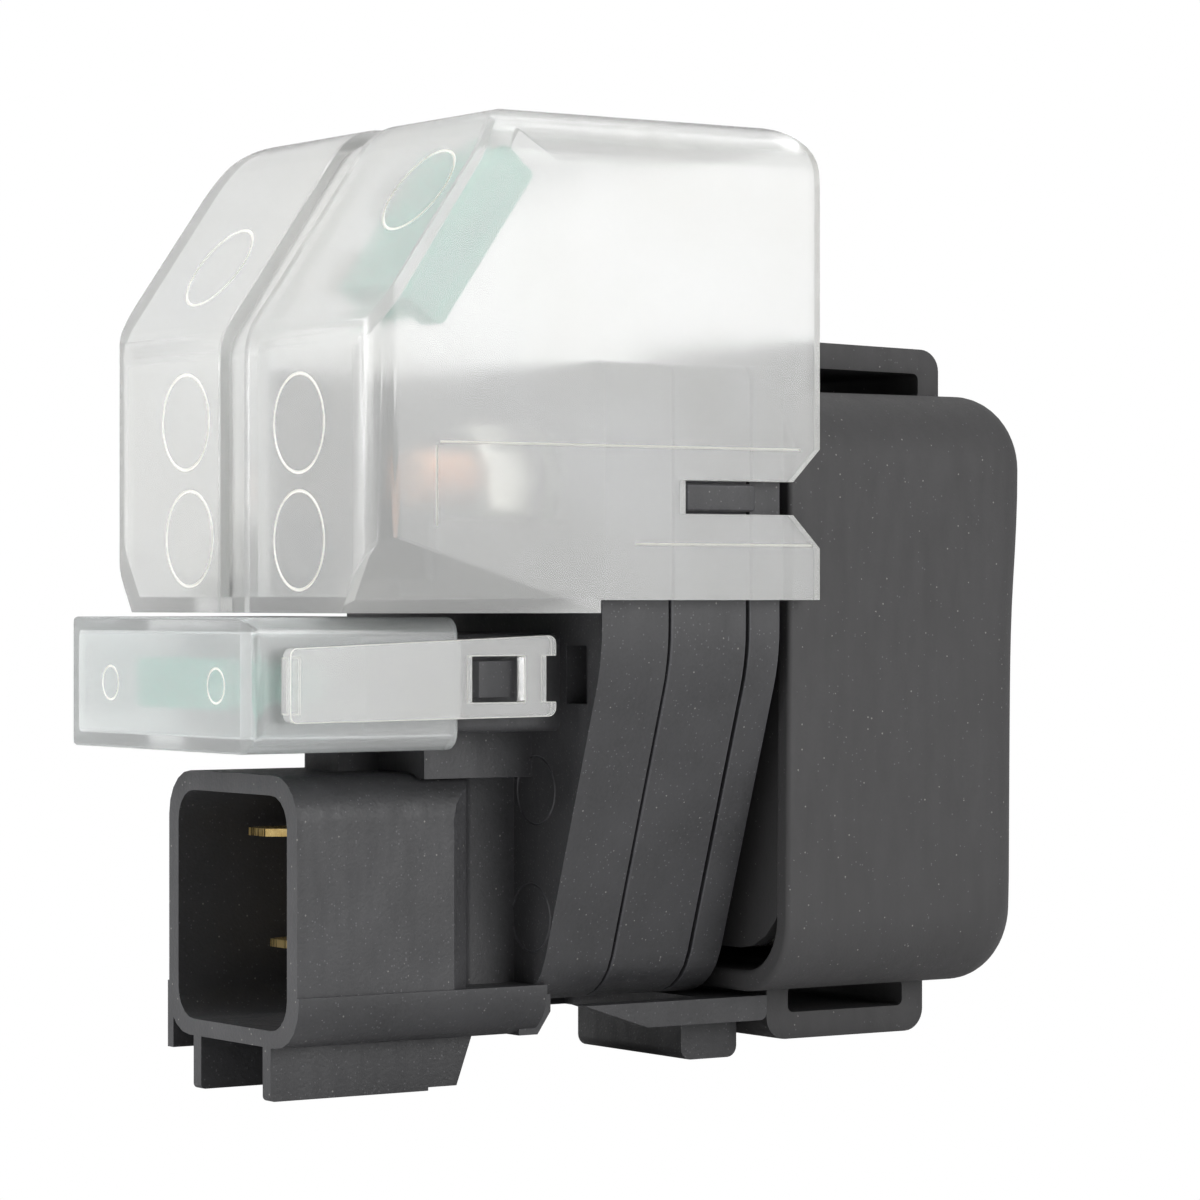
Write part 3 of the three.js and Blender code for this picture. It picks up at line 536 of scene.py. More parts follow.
class Effects:
    """Shader node groups used by several materials, each built once."""

    @staticmethod
    def _start(
        name: str, inputs: dict[str, float], outputs: Sequence[str]
    ) -> tuple[Shader, Node, Node]:
        """Opens a new group whose inputs and outputs are numbers.

        Args:
            name: the group's name.
            inputs: the inputs' names and usual values.
            outputs: the outputs' names.

        Returns:
            The group's shader, its input node and its output node.
        """
        tree = bpy.data.node_groups.new(name, "ShaderNodeTree")
        for key, value in inputs.items():
            socket = tree.interface.new_socket(key, in_out="INPUT", socket_type="NodeSocketFloat")
            socket.default_value = value
        for key in outputs:
            tree.interface.new_socket(key, in_out="OUTPUT", socket_type="NodeSocketFloat")
        return Shader(tree), tree.nodes.new("NodeGroupInput"), tree.nodes.new("NodeGroupOutput")

    @classmethod
    def grain(cls) -> Tree:
        """Moulded grain: a fine noise for Height, and a coarser one, Tone, for slow colour change.

        Returns:
            The group.
        """
        found = bpy.data.node_groups.get("moulded_grain")
        if found:
            return found
        s, given, out = cls._start("moulded_grain", {"Scale": 2500.0, "Cloud": 60.0}, ["Height", "Tone"])
        place = s.node("TexCoord").outputs["Object"]
        fine = s.node("TexNoise", {"Vector": place, "Scale": given.outputs["Scale"], "Detail": 3.0})
        cloud = {"Vector": place, "Scale": given.outputs["Cloud"], "Detail": 4.0, "Roughness": 0.6}
        slow = s.node("TexNoise", cloud)
        s.give(out.inputs["Height"], fine.outputs["Fac"])
        s.give(out.inputs["Tone"], s.spread(slow.outputs["Fac"], 0.32, 0.68))
        return s.tree

    @classmethod
    def specks(cls) -> Tree:
        """Scattered specks: Mask is 1 near the centres of cells whose random number is under Share.

        Returns:
            The group.
        """
        found = bpy.data.node_groups.get("scattered_specks")
        if found:
            return found
        usual = {"Scale": 3000.0, "Share": 0.1, "Size": 0.25}
        s, given, out = cls._start("scattered_specks", usual, ["Mask"])
        place = s.node("TexCoord").outputs["Object"]
        cells = s.node("TexVoronoi", {"Vector": place, "Scale": given.outputs["Scale"]})
        near = s.math("LESS_THAN", cells.outputs["Distance"], given.outputs["Size"])
        pick = s.node("SeparateColor", {0: cells.outputs["Color"]}).outputs[0]
        chosen = s.math("LESS_THAN", pick, given.outputs["Share"])
        s.give(out.inputs["Mask"], s.math("MULTIPLY", near, chosen))
        return s.tree

    @classmethod
    def streaks(cls) -> Tree:
        """Flow streaks: Mask is a noise drawn out along Z.

        Returns:
            The group.
        """
        found = bpy.data.node_groups.get("flow_streaks")
        if found:
            return found
        s, given, out = cls._start("flow_streaks", {"Scale": 900.0, "Stretch": 0.06}, ["Mask"])
        place = s.node("TexCoord").outputs["Object"]
        stretch = s.node("CombineXYZ", {0: 1.0, 1: 1.0, 2: given.outputs["Stretch"]})
        drawn = s.node("VectorMath", {0: place, 1: stretch.outputs[0]}, operation="MULTIPLY")
        flow = {"Vector": drawn.outputs[0], "Scale": given.outputs["Scale"], "Detail": 3.0}
        noise = s.node("TexNoise", flow)
        s.give(out.inputs["Mask"], s.spread(noise.outputs["Fac"], 0.35, 0.7))
        return s.tree


def group_in(shader: Shader, tree: Tree, **values: float) -> Node:
    """Places a group in a material.

    Args:
        shader: the material's shader.
        tree: the group.
        **values: the group's inputs in this material.

    Returns:
        The group's node.
    """
    made = shader.tree.nodes.new("ShaderNodeGroup")
    made.node_tree = tree
    for key, value in values.items():
        shader.give(made.inputs[key], value)
    return made


@dataclass(frozen=True)
class Surface:
    """What every finish shares: two tones, a roughness range and a bump."""

    name: str
    dark: Colour
    light: Colour
    rough_low: float
    rough_high: float
    bump: float

    def start(self) -> tuple[Material, Shader, Node]:
        """Opens a material with a plain Principled surface.

        Returns:
            The material, its shader and the surface's node.
        """
        material = bpy.data.materials.new(self.name)
        material.use_nodes = True
        material.node_tree.nodes.clear()
        shader = Shader(material.node_tree)
        surface = shader.node("BsdfPrincipled")
        shader.node("OutputMaterial", {"Surface": surface.outputs[0]})
        return material, shader, surface

    def roughness(self, shader: Shader, surface: Node, mask: Socket) -> None:
        """Drives Roughness between its two limits by a mask."""
        value = shader.spread(mask, 0.0, 1.0, self.rough_low, self.rough_high)
        shader.give(surface.inputs["Roughness"], value)

    def relief(self, shader: Shader, surface: Node, height: Socket, depth: float) -> None:
        """Bumps the surface by a height, whose full depth is given in millimetres."""
        bump = shader.node("Bump", {"Strength": self.bump, "Distance": depth * MM, "Height": height})
        shader.give(surface.inputs["Normal"], bump.outputs[0])


@dataclass(frozen=True)
class ClearPlastic(Surface):
    """Milky natural polypropylene: part diffuse, part clear, with slow clouds and a few specks."""

    transmission: float = 0.6
    refraction: float = 1.49
    speck_colour: Colour = (0.45, 0.44, 0.41)
    speck_strength: float = 0.35
    depth: float = 0.05

    def build(self) -> Material:
        """Makes the material.

        Returns:
            The material.
        """
        material, s, surface = self.start()
        grain = group_in(s, Effects.grain(), Scale=160.0, Cloud=45.0)
        speck = group_in(s, Effects.specks(), Scale=420.0, Share=0.006, Size=0.10)
        body = s.mix(grain.outputs["Tone"], self.dark, self.light)
        speckled = s.math("MULTIPLY", speck.outputs["Mask"], self.speck_strength)
        body = s.mix(speckled, body, self.speck_colour)
        s.give(surface.inputs["Base Color"], body)
        self.roughness(s, surface, grain.outputs["Tone"])
        self.relief(s, surface, grain.outputs["Height"], self.depth)
        s.give(surface.inputs["Transmission Weight"], self.transmission)
        s.give(surface.inputs["IOR"], self.refraction)
        return material


@dataclass(frozen=True)
class BlackMoulding(Surface):
    """Glass-filled nylon or rubber: spark-eroded grain, faint flow streaks, fibres and dust.

    The sparkle is the share of the tiny cells that hold a bright fibre.
    """

    sparkle: float = 0.1
    grain_scale: float = 2600.0
    fibre_colour: Colour = (0.21, 0.21, 0.22)
    fibre_strength: float = 0.35
    dust_colour: Colour = (0.32, 0.31, 0.29)
    dust_strength: float = 0.6
    cloud_strength: float = 0.6
    grain_strength: float = 0.35
    depth: float = 0.06

    def build(self) -> Material:
        """Makes the material.

        Returns:
            The material.
        """
        material, s, surface = self.start()
        grain = group_in(s, Effects.grain(), Scale=self.grain_scale, Cloud=110.0)
        streak = group_in(s, Effects.streaks(), Scale=700.0, Stretch=0.2)
        fibre = group_in(s, Effects.specks(), Scale=3600.0, Share=self.sparkle, Size=0.32)
        dust = group_in(s, Effects.specks(), Scale=2100.0, Share=0.03, Size=0.2)
        fine = s.spread(grain.outputs["Height"], 0.38, 0.62)
        layers = ((grain.outputs["Tone"], self.cloud_strength, self.light),
                  (fine, self.grain_strength, self.light),
                  (fibre.outputs["Mask"], self.fibre_strength, self.fibre_colour),
                  (dust.outputs["Mask"], self.dust_strength, self.dust_colour))
        body: Colour | Socket = self.dark
        for mask, strength, colour in layers:
            body = s.mix(s.math("MULTIPLY", mask, strength), body, colour)
        s.give(surface.inputs["Base Color"], body)
        half_fine = s.math("MULTIPLY", fine, 0.5)
        self.roughness(s, surface, s.math("MULTIPLY_ADD", streak.outputs["Mask"], 0.5, half_fine))
        self.relief(s, surface, grain.outputs["Height"], self.depth)
        return material


@dataclass(frozen=True)
class Metal(Surface):
    """Stamped or turned metal with drawing lines and a thin tarnish."""

    depth: float = 0.015

    def build(self) -> Material:
        """Makes the material.

        Returns:
            The material.
        """
        material, s, surface = self.start()
        grain = group_in(s, Effects.grain(), Scale=3200.0, Cloud=420.0)
        streak = group_in(s, Effects.streaks(), Scale=3000.0, Stretch=0.03)
        body = s.mix(grain.outputs["Tone"], self.light, self.dark)
        s.give(surface.inputs["Base Color"], body)
        self.roughness(s, surface, streak.outputs["Mask"])
        height = s.math("ADD", streak.outputs["Mask"], grain.outputs["Height"])
        self.relief(s, surface, height, self.depth)
        s.give(surface.inputs["Metallic"], 1.0)
        return material


@dataclass(frozen=True)
class WoundWire(Surface):
    """Varnished enamelled wire laid in rows across the axis, painted light on each wire's crest and dark
    in the grooves between, a painted highlight and shade.
    """

    wire: float = 0.5
    depth: float = 0.2
    varnish: float = 0.4

    def build(self) -> Material:
        """Makes the material.

        Returns:
            The material.
        """
        material, s, surface = self.start()
        place = s.node("TexCoord").outputs["Object"]
        along = s.node("SeparateXYZ", {0: place}).outputs[0]
        wave = s.math("SINE", s.math("MULTIPLY", along, 2 * math.pi / (self.wire * MM)))
        row = s.spread(wave, -1.0, 1.0)
        # Colour runs from dark in the grooves between wires to light on their crests, painted shade and
        # highlight.
        s.give(surface.inputs["Base Color"], s.mix(row, self.dark, self.light))
        self.roughness(s, surface, row)
        self.relief(s, surface, row, self.depth)
        s.give(surface.inputs["Coat Weight"], self.varnish)
        return material


class Palette:
    """Every material of the relay, built once.

    After a finish's name come its dark and light tones, its lowest and highest roughness and its bump.
    """

    def __init__(self) -> None:
        """Builds them all."""
        self.hood = ClearPlastic(
            "hood_plastic", (0.945, 0.952, 0.95), (0.98, 0.982, 0.965), 0.18, 0.27, 0.04,
            transmission=0.75).build()
        # A lighter, creamier and less clear copy of the hood plastic for its edges and grooves, a painted
        # highlight.
        self.hood_edge_highlight = ClearPlastic(
            "hood_edge_highlight", (0.965, 0.96, 0.90), (0.99, 0.985, 0.95), 0.30, 0.45, 0.1,
            transmission=0.3).build()
        self.fuse_cover = ClearPlastic(
            "fuse_cover_plastic", (0.93, 0.96, 0.96), (0.97, 0.985, 0.98), 0.16, 0.26, 0.04,
            transmission=0.76).build()
        self.nylon = BlackMoulding(
            "black_nylon", (0.034, 0.034, 0.036), (0.062, 0.062, 0.066), 0.42, 0.62, 0.7).build()
        # A lighter copy of the black nylon for rounded edges and grooves, a painted highlight.
        self.nylon_edge_highlight = BlackMoulding(
            "black_nylon_edge", (0.045, 0.045, 0.05), (0.085, 0.085, 0.092), 0.38, 0.55, 0.5).build()
        self.rubber = BlackMoulding(
            "boot_rubber", (0.046, 0.045, 0.046), (0.058, 0.057, 0.059), 0.58, 0.74, 0.45,
            sparkle=0.03, grain_scale=3400.0).build()
        self.fuse = ClearPlastic(
            "fuse_green", (0.08, 0.62, 0.44), (0.20, 0.78, 0.60), 0.12, 0.25, 0.2,
            transmission=0.45).build()
        self.brass = Metal(
            "brass_strip", (0.58, 0.40, 0.14), (0.86, 0.66, 0.30), 0.22, 0.42, 0.4).build()
        self.copper = Metal(
            "bare_copper", (0.50, 0.24, 0.13), (0.80, 0.45, 0.29), 0.26, 0.46, 0.4).build()
        self.zinc = Metal(
            "zinc_plate", (0.42, 0.41, 0.37), (0.70, 0.69, 0.64), 0.24, 0.44, 0.4).build()
        self.spring = Metal(
            "spring_steel", (0.34, 0.35, 0.37), (0.58, 0.59, 0.61), 0.18, 0.34, 0.3).build()
        self.nylon_natural = BlackMoulding(
            "natural_nylon", (0.62, 0.56, 0.42), (0.78, 0.73, 0.60), 0.45, 0.6, 0.4,
            sparkle=0.0).build()
        # Dark and light tones of the wire rows: painted shade in the grooves and painted highlight on the
        # crests.
        self.wire = WoundWire(
            "enamelled_wire", (0.16, 0.035, 0.012), (0.52, 0.15, 0.06), 0.2, 0.4, 0.8).build()


# ------------------------------------------------------------------ the relay's sub-assemblies


@dataclass
class TerminalHood:
    """The clear cover over the two terminals, sized in millimetres from the working origin."""

    length: float = 54.0
    half_width: float = 27.0
    height: float = 48.9
    floor_end: float = 26.8
    slot_start: float = 37.1
    slot_heights: tuple[float, float] = (4.5, 17.5)
    slope_foot: float = 26.7
    slope_run: float = 15.6
    rounding: float = 0.35
    mark_radius: float = 4.9
    front_marks: tuple[tuple[float, float], ...] = ((-13.4, 17.5), (-13.4, 5.9), (9.8, 18.3), (9.0, 6.3))
    slope_marks: tuple[Point, ...] = ((9.7, -20.2, 40.5), (5.6, 12.7, 34.67))
    line_radius: float = 0.13
    pocket_place: float = 0.56
    pocket_along: tuple[float, float] = (-11.5, 11.3)
    pocket_under: tuple[float, float] = (3.5, 12.3)
    pocket_across: tuple[float, float] = (-25.35, -18.4)

    def rings(self) -> list[Ring]:
        """Places the six ejector marks.

        Returns:
            Two marks on each half of the front, and one on each half of the slope.
        """
        slope = (self.slope_foot - self.height, 0.0, self.slope_run)
        front = [Ring((0.0, y, z), FORWARD, self.mark_radius) for y, z in self.front_marks]
        return front + [Ring(centre, slope, self.mark_radius) for centre in self.slope_marks]

    def lines(self) -> list[Line]:
        """Places the fine lines on both side walls, from the x and z of their ends.

        Returns:
            The fold, corner and ledge lines of each side.
        """
        fold = ((8.0, 15.4), (self.length - 2.5, 15.4))
        corner = ((7.6, 15.0), (7.6, 7.2))
        ledge = ((31.0, 5.6), (self.length - 1.0, 5.6))
        return [Line((x0, y, z0), (x1, y, z1), self.line_radius)
                for y in (-self.half_width, self.half_width)
                for (x0, z0), (x1, z1) in (fold, corner, ledge)]

    def pocket_tool(self) -> Object:
        """A slanted block behind the slope, that takes the fuse's grip ribs back to the side wall.

        Its corners are centre + a up + d under, with a along the slope and d below its outer face.

        Returns:
            The block as a closed solid.
        """
        rise = np.array([self.slope_run, 0.0, self.height - self.slope_foot])
        up = rise / np.linalg.norm(rise)
        under = np.array([up[2], 0.0, -up[0]])
        centre = np.array([0.0, 0.0, self.slope_foot]) + self.pocket_place * rise
        (low, high), (shallow, deep) = self.pocket_along, self.pocket_under
        corners = ((low, shallow), (high, shallow), (high, deep), (low, deep))
        plan = np.array([centre + a * up + d * under for a, d in corners])
        points, faces = capped_tube(np.stack([plan + (0.0, y, 0.0) for y in self.pocket_across]))
        return new_object("pocket_tool", points, faces)

    def is_rim(self, centre: np.ndarray, normal: np.ndarray) -> np.ndarray:
        """Tells which faces lie on an open edge of the wall.

        A face is on one if it is within about half a millimetre of it and faces out of the opening.

        Args:
            centre: face centres in millimetres from the working origin.
            normal: face normals.

        Returns:
            A boolean for each face.
        """
        x, y, z = centre.T
        rear = (x > self.length - 0.6) & (normal[:, 0] > 0.4)
        under = (z < 0.3) & (normal[:, 2] < -0.4) & (x > self.floor_end - 0.5)
        low, high = self.slot_heights
        side = (z > low) & (z < high) & (np.abs(y) > self.half_width - 1.8)
        slot = side & (x > self.slot_start - 0.4) & (np.abs(normal[:, 1]) < 0.6)
        return rear | under | slot

    def build(self, palette: Palette) -> None:
        """Makes the hood with its marks and with its edges and grooves in a lighter plastic, a painted
        highlight, and dresses the spare fuse inside it.

        Args:
            palette: the materials.
        """
        hood = softened("terminal_cover", self.rounding, CLEAR_ANGLE, CLEAR_SEGMENTS, PLAIN)
        combine(hood, self.pocket_tool(), Joining.CUT)
        carve(hood, self.rings())
        carve(hood, self.lines())
        mesh = hood.data
        count = len(mesh.polygons)
        centre, normal = np.empty(count * 3), np.empty(count * 3)
        number = np.zeros(count, np.int32)
        mesh.polygons.foreach_get("center", centre)
        mesh.polygons.foreach_get("normal", normal)
        mesh.polygons.foreach_get("material_index", number)
        rim = self.is_rim((centre.reshape(-1, 3) - ORIGIN) / MM, normal.reshape(-1, 3))
        # Rims, roundings and groove walls take the lighter edge plastic, a painted highlight.
        number = np.where(rim | (number > PLAIN), EDGE, PLAIN).astype(np.int32)
        mesh.polygons.foreach_set("material_index", number)
        finish_piece(hood, Body.COVER, (palette.hood, palette.hood_edge_highlight))
        smooth(hood)
        dress("spare_fuse_element", palette.zinc)
        spare = softened("spare_fuse_body", self.rounding)
        finish_piece(spare, Body.COVER, (palette.fuse, palette.fuse))


@dataclass
class FuseHolder:
    """The clear fuse cover with its two arms, and the fuse in its holder."""

    front: float = -8.9
    rounding: float = 0.3
    fuse_rounding: float = 0.35
    mark_height: float = -8.4
    mark_places: tuple[float, float] = (-12.6, 9.4)
    mark_radius: float = 1.7
    mark_groove: float = 0.12

    def build(self, palette: Palette) -> None:
        """Makes the cover, the arms and the fuse.

        Args:
            palette: the materials.
        """
        cover = softened("fuse_cover", self.rounding, CLEAR_ANGLE, CLEAR_SEGMENTS, PLAIN)
        centres = [(self.front, y, self.mark_height) for y in self.mark_places]
        carve(cover, [Ring(c, FORWARD, self.mark_radius, self.mark_groove) for c in centres])
        # The ring grooves take the lighter edge plastic, a painted highlight.
        finish_piece(cover, Body.FUSE_COVER, (palette.fuse_cover, palette.hood_edge_highlight))
        smooth(cover)
        for body in (Body.ARM_NEAR, Body.ARM_FAR):
            arm = softened(body.value, self.rounding, CLEAR_ANGLE)
            # The arm's rounded edges take the lighter edge plastic, a painted highlight.
            finish_piece(arm, body, (palette.hood, palette.hood_edge_highlight))
        fuse = softened("main_fuse_body", self.fuse_rounding)
        finish_piece(fuse, Body.RELAY, (palette.fuse, palette.fuse))
        dress("main_fuse_element", palette.zinc)
        for side in Side:
            dress(f"fuse_clip_{side.value}", palette.brass)


@dataclass
class ContactorHousing:
    """The black moulded shells with the connector socket, and the clasp under them."""

    front_rounding: float = 0.35
    middle_rounding: float = 0.3
    rear_rounding: float = 0.5
    clasp_rounding: float = 0.4
    plate: float = 28.3
    marks: tuple[tuple[float, float], ...] = ((12.9, -19.5), (12.0, -32.6))
    mark_radius: float = 3.5
    mark_groove: float = 0.14

    def shell(self, node: str, width: float, palette: Palette, marks: Sequence[Ring] = ()) -> None:
        """Makes one black moulding.

        Args:
            node: its CAD node.
            width: width of its edges' rounding.
            palette: the materials.
            marks: its ejector marks, if it has any.
        """
        piece = softened(node, width)
        if marks:
            carve(piece, marks)
            smooth(piece)
        # Rounded edges and ring grooves take the lighter nylon, a painted highlight.
        finish_piece(piece, Body.RELAY, (palette.nylon, palette.nylon_edge_highlight))

    def build(self, palette: Palette) -> None:
        """Makes the four black mouldings and dresses the blades.

        Args:
            palette: the materials.
        """
        places = [(self.plate, side.sign * y, z) for side in Side for y, z in self.marks]
        marks = [Ring(place, FORWARD, self.mark_radius, self.mark_groove) for place in places]
        self.shell("housing_front", self.front_rounding, palette, marks)
        self.shell("housing_middle", self.middle_rounding, palette)
        self.shell("housing_rear", self.rear_rounding, palette)
        self.shell("housing_clasp", self.clasp_rounding, palette)
        for kind in ("output", "coil"):
            for side in Side:
                dress(f"{kind}_blade_{side.value}", palette.brass)


@dataclass
class ThreadedStud:
    """A copper stud with a rolled thread and a round head inside the housing."""

    start: float = 13.5
    thread_end: float = 29.4
    crest: float = 3.0
    pitch: float = 1.0
    depth: float = 0.5
    tip_radius: float = 2.2
    head_radius: float = 5.0
    head_length: float = 3.5
    chamfer: float = 0.4
    steps: int = 12
    around: int = 40
    crisp_angle: float = 60.0

    def build(self, side: Side, y: float, z: float, palette: Palette) -> None:
        """Makes one stud.

        The surface is r(x, a) = crest - depth (0.5 + 0.5 cos(2 pi x / pitch - a)) over the thread, with
        the thread fading in over the first pitch, then a plain shank and the head.

        Args:
            side: the side that it stands on.
            y: the stud's place across.
            z: the stud's height.
            palette: the materials.
        """
        _, far_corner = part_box(f"terminal_stud_{side.value}")
        end = (far_corner.x - ORIGIN[0]) / MM
        head = end - self.head_length
        thread = np.arange(self.start + 0.05, self.thread_end, self.pitch / self.steps)
        shank = [self.thread_end + 0.1, head, head, end - self.chamfer, end]
        radii = [self.crest] * 2 + [self.head_radius] * 2 + [self.head_radius - self.chamfer]
        x = np.concatenate([[self.start], thread, shank])[:, None]
        base = np.concatenate([[self.tip_radius], np.full(len(thread), self.crest), radii])[:, None]
        grown = np.clip((thread - self.start) / self.pitch, 0.25, 1)
        fade = np.concatenate([[0.0], grown, np.zeros(len(shank))])[:, None]
        a = np.linspace(0, 2 * np.pi, self.around, endpoint=False)[None, :]
        cut = 0.5 + 0.5 * np.cos(2 * np.pi * x / self.pitch - a)
        point = (1 - fade) * (x < self.start + self.pitch) * self.depth
        r = base - self.depth * fade * cut - point
        rings = np.stack([np.broadcast_to(x, r.shape), y + r * np.cos(a), z + r * np.sin(a)], -1)
        stud = new_object(f"threaded_stud_{side.value}", *capped_tube(rings))
        smooth(stud, self.crisp_angle)
        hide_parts(f"terminal_stud_{side.value}")
        finish_piece(stud, Body.RELAY, (palette.copper,))


@dataclass
class Terminals:
    """Studs, nuts and washers of the two battery terminals, with the contacts and coil behind them."""

    pitch: float = 23.0
    height: float = 12.0
    nut_rounding: float = 0.15

    def build(self, palette: Palette) -> None:
        """Makes the studs and nuts and dresses the rest.

        Args:
            palette: the materials.
        """
        for side, body in ((Side.NEAR, Body.NUT_NEAR), (Side.FAR, Body.NUT_FAR)):
            ThreadedStud().build(side, side.sign * self.pitch / 2, self.height, palette)
            nut = softened(body.value, self.nut_rounding)
            finish_piece(nut, body, (palette.zinc, palette.zinc))
            dress(f"flat_washer_{side.value}", palette.zinc)
            dress(f"spring_washer_{side.value}", palette.spring)
            dress(f"fixed_contact_{side.value}", palette.copper)
        dress("contact_bridge", palette.copper)
        for node in ("contact_retainer", "contact_spring", "return_spring"):
            dress(node, palette.spring)
        for node in ("plunger_rod", "plunger", "fixed_core", "flux_plate", "solenoid_can"):
            dress(node, palette.zinc)
        dress("coil_bobbin", palette.nylon_natural)
        dress("coil_winding", palette.wire)


@dataclass
class MountingBoot:
    """The rubber boot: a soft box with a hollow rear face, and a strap loop above and below."""

    front: float = 52.0
    end: float = 85.2
    half_width: float = 24.6
    low: float = -41.0
    high: float = 22.0
    corner: float = 8.0
    least_corner: float = 1.5
    rear_round: float = 5.4
    wall: float = 2.2
    rear_wall: float = 4.4
    rim: float = 0.5
    dent: float = 1.1
    dent_start: float = 60.0
    dent_height: float = 3.5
    dent_blend: float = 3.5
    taper: float = 0.022
    fold_high: float = 12.7
    fold_low: float = -30.7
    fold_slope: float = 0.035
    fold_reach: float = 20.0
    upper_strap: tuple[float, float] = (59.0, 79.9)
    upper_fall: float = 0.5
    lower_strap: tuple[float, float] = (56.8, 77.7)
    strap_half_width: float = 14.0
    strap_wall: float = 2.8
    strap_edge: float = 0.9
    strap_rounds: tuple[float, float, float] = (2.4, 1.8, 0.7)
    slot_height: float = 2.8
    crisp_angle: float = 40.0

    def path(self) -> tuple[np.ndarray, np.ndarray, np.ndarray]:
        """Works out the profile that carries the section.

        It runs from the middle of the inner rear wall, out of the mouth, round its rim and back to the
        middle of the outer rear face. The rim and the outer rear edge are quarter circles.

        Returns:
            Arrays x, inset and scale, one entry per ring.
        """
        inner_end = self.end - self.rear_wall
        lip = self.front + self.rim
        turn = np.linspace(0, np.pi / 2, 5)
        bend = np.linspace(0, np.pi / 2, 14)[1:]
        stretches = (
            (inner_end, self.wall, np.linspace(0.04, 1.0, 8)),
            (np.linspace(inner_end - 0.3, lip, 6), self.wall, 1.0),
            (lip - self.rim * np.sin(turn), self.wall - self.rim * (1 - np.cos(turn)), 1.0),
            (lip - self.rim * np.cos(turn), self.rim * (1 - np.sin(turn)), 1.0),
            (np.linspace(lip + 0.8, self.end - self.rear_round, 22), 0.0, 1.0),
            (self.end - self.rear_round * (1 - np.sin(bend)), self.rear_round * (1 - np.cos(bend)), 1.0),
            (self.end, self.rear_round, np.linspace(1.0, 0.03, 14)[1:]),
        )
        rows = [np.stack(np.broadcast_arrays(*stretch)) for stretch in stretches]
        x, inset, scale = np.concatenate(rows, axis=1)
        return x, inset, scale

    def sleeve(self) -> Object:
        """Makes the box: the section at each step of the path, then shaped.

        It is drawn in towards its foot by the taper. Below its middle the rear steps forward by
        dent / (1 + exp((z - dent_height) / dent_blend)). Past the two fold lines the sides lean in.

        Returns:
            The box as a closed solid.
        """
        x, inset, scale = self.path()
        half_height = (self.high - self.low) / 2
        radius = np.clip(self.corner - inset, self.least_corner, None) * scale
        section = RoundedSection(arc=12, side=16)
        y, z = section.rings((self.half_width - inset) * scale, (half_height - inset) * scale, radius)
        z = z + (self.high + self.low) / 2
        x = np.broadcast_to(x[:, None], y.shape).copy()
        depth = (x - self.front) / (self.end - self.front)
        rear = np.clip((x - self.dent_start) / (self.end - self.dent_start), 0, 1) ** 2
        x -= rear * self.dent / (1 + np.exp((z - self.dent_height) / self.dent_blend))
        fall = np.clip((self.high - z) / (self.high - self.low), 0, 1)
        y *= 1 - self.taper * fall
        fold = np.clip(z - self.fold_high, 0, None) + np.clip(self.fold_low - z, 0, None)
        y -= np.sign(y) * self.fold_slope * fold * np.clip(np.abs(y) / self.fold_reach, 0, 1) * depth
        points, faces = capped_tube(np.stack([x, y, z], -1))
        return new_object("boot_sleeve", points, faces)

    def strap(self, ends: tuple[float, float], low: float, high: float, fall: float) -> Object:
        """Makes a strap: a rounded rectangle in x and z, carried by a flat section with round edges.

        Over the section's angle b the strap's edge follows a softened sign of cos b, and its thickness
        is sin b, steepened and held between the rectangle's outer and inner outlines.

        Args:
            ends: outer x at the front and at the rear.
            low: outer z at the foot.
            high: outer z at the top.
            fall: how far the top falls from front to rear.

        Returns:
            The strap as a closed solid.
        """
        start, end = ends
        outlines = RoundedSection(arc=8, side=6)
        insets = np.array([0.0, self.strap_wall / 2, self.strap_wall])
        u, v = outlines.rings((end - start) / 2 - insets, (high - low) / 2 - insets, self.strap_rounds)
        outer, middle, inner = np.stack([u, v], 1)[..., None]
        b = np.linspace(0, 2 * np.pi, 28, endpoint=False)[None, :]
        flat = np.abs(np.cos(b))
        across = self.strap_half_width - self.strap_edge + self.strap_edge * flat ** 0.6
        side = np.sign(np.cos(b)) * across * np.clip(flat * 6, 0, 1) ** 0.4
        thick = np.clip(1.7 * np.sin(b), -1, 1)
        reach = np.where(thick > 0, outer - middle, middle - inner)
        x = (start + end) / 2 + middle[0] + reach[0] * thick
        z = (low + high) / 2 + middle[1] + reach[1] * thick
        z = z - fall * (x - start) / (end - start) * np.clip((z - low) / (high - low), 0, 1)
        rings = np.stack([x, np.broadcast_to(side, x.shape), z], -1)
        points, faces = closed_band(rings)
        return new_object("boot_strap", points, faces)

    def build(self, palette: Palette) -> None:
        """Makes the boot in one piece with its two straps.

        Args:
            palette: the materials.
        """
        boot = self.sleeve()
        reach = self.slot_height + self.strap_wall
        top = (self.high - self.strap_wall, self.high + reach)
        combine(boot, self.strap(self.upper_strap, *top, self.upper_fall), Joining.ADD)
        foot = (self.low - reach, self.low + self.strap_wall)
        combine(boot, self.strap(self.lower_strap, *foot, 0.0), Joining.ADD)
        boot.name = "rubber_boot_moulding"
        smooth(boot, self.crisp_angle)
        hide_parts("rubber_boot")
        finish_piece(boot, Body.RELAY, (palette.rubber,))
        dress("boot_mouth_seal", palette.rubber)


# ------------------------------------------------------------------ studio


@dataclass(frozen=True)
class Lamp:
    """A square area lamp: its place in millimetres, its side in metres and its power in watts."""

    name: str
    place: Point
    size: float
    watts: float

    def build(self, aim: Point) -> None:
        """Hangs the lamp so that it faces a point.

        Args:
            aim: the point, in millimetres from the working origin.
        """
        light = bpy.data.lights.new(self.name, "AREA")
        light.size = self.size
        light.energy = self.watts
        item = bpy.data.objects.new(self.name, light)
        where, target = (Vector(placed(np.array(p, float))) for p in (self.place, aim))
        item.location = where
        item.rotation_euler = (target - where).to_track_quat("-Z", "Y").to_euler()
        bpy.context.scene.collection.objects.link(item)


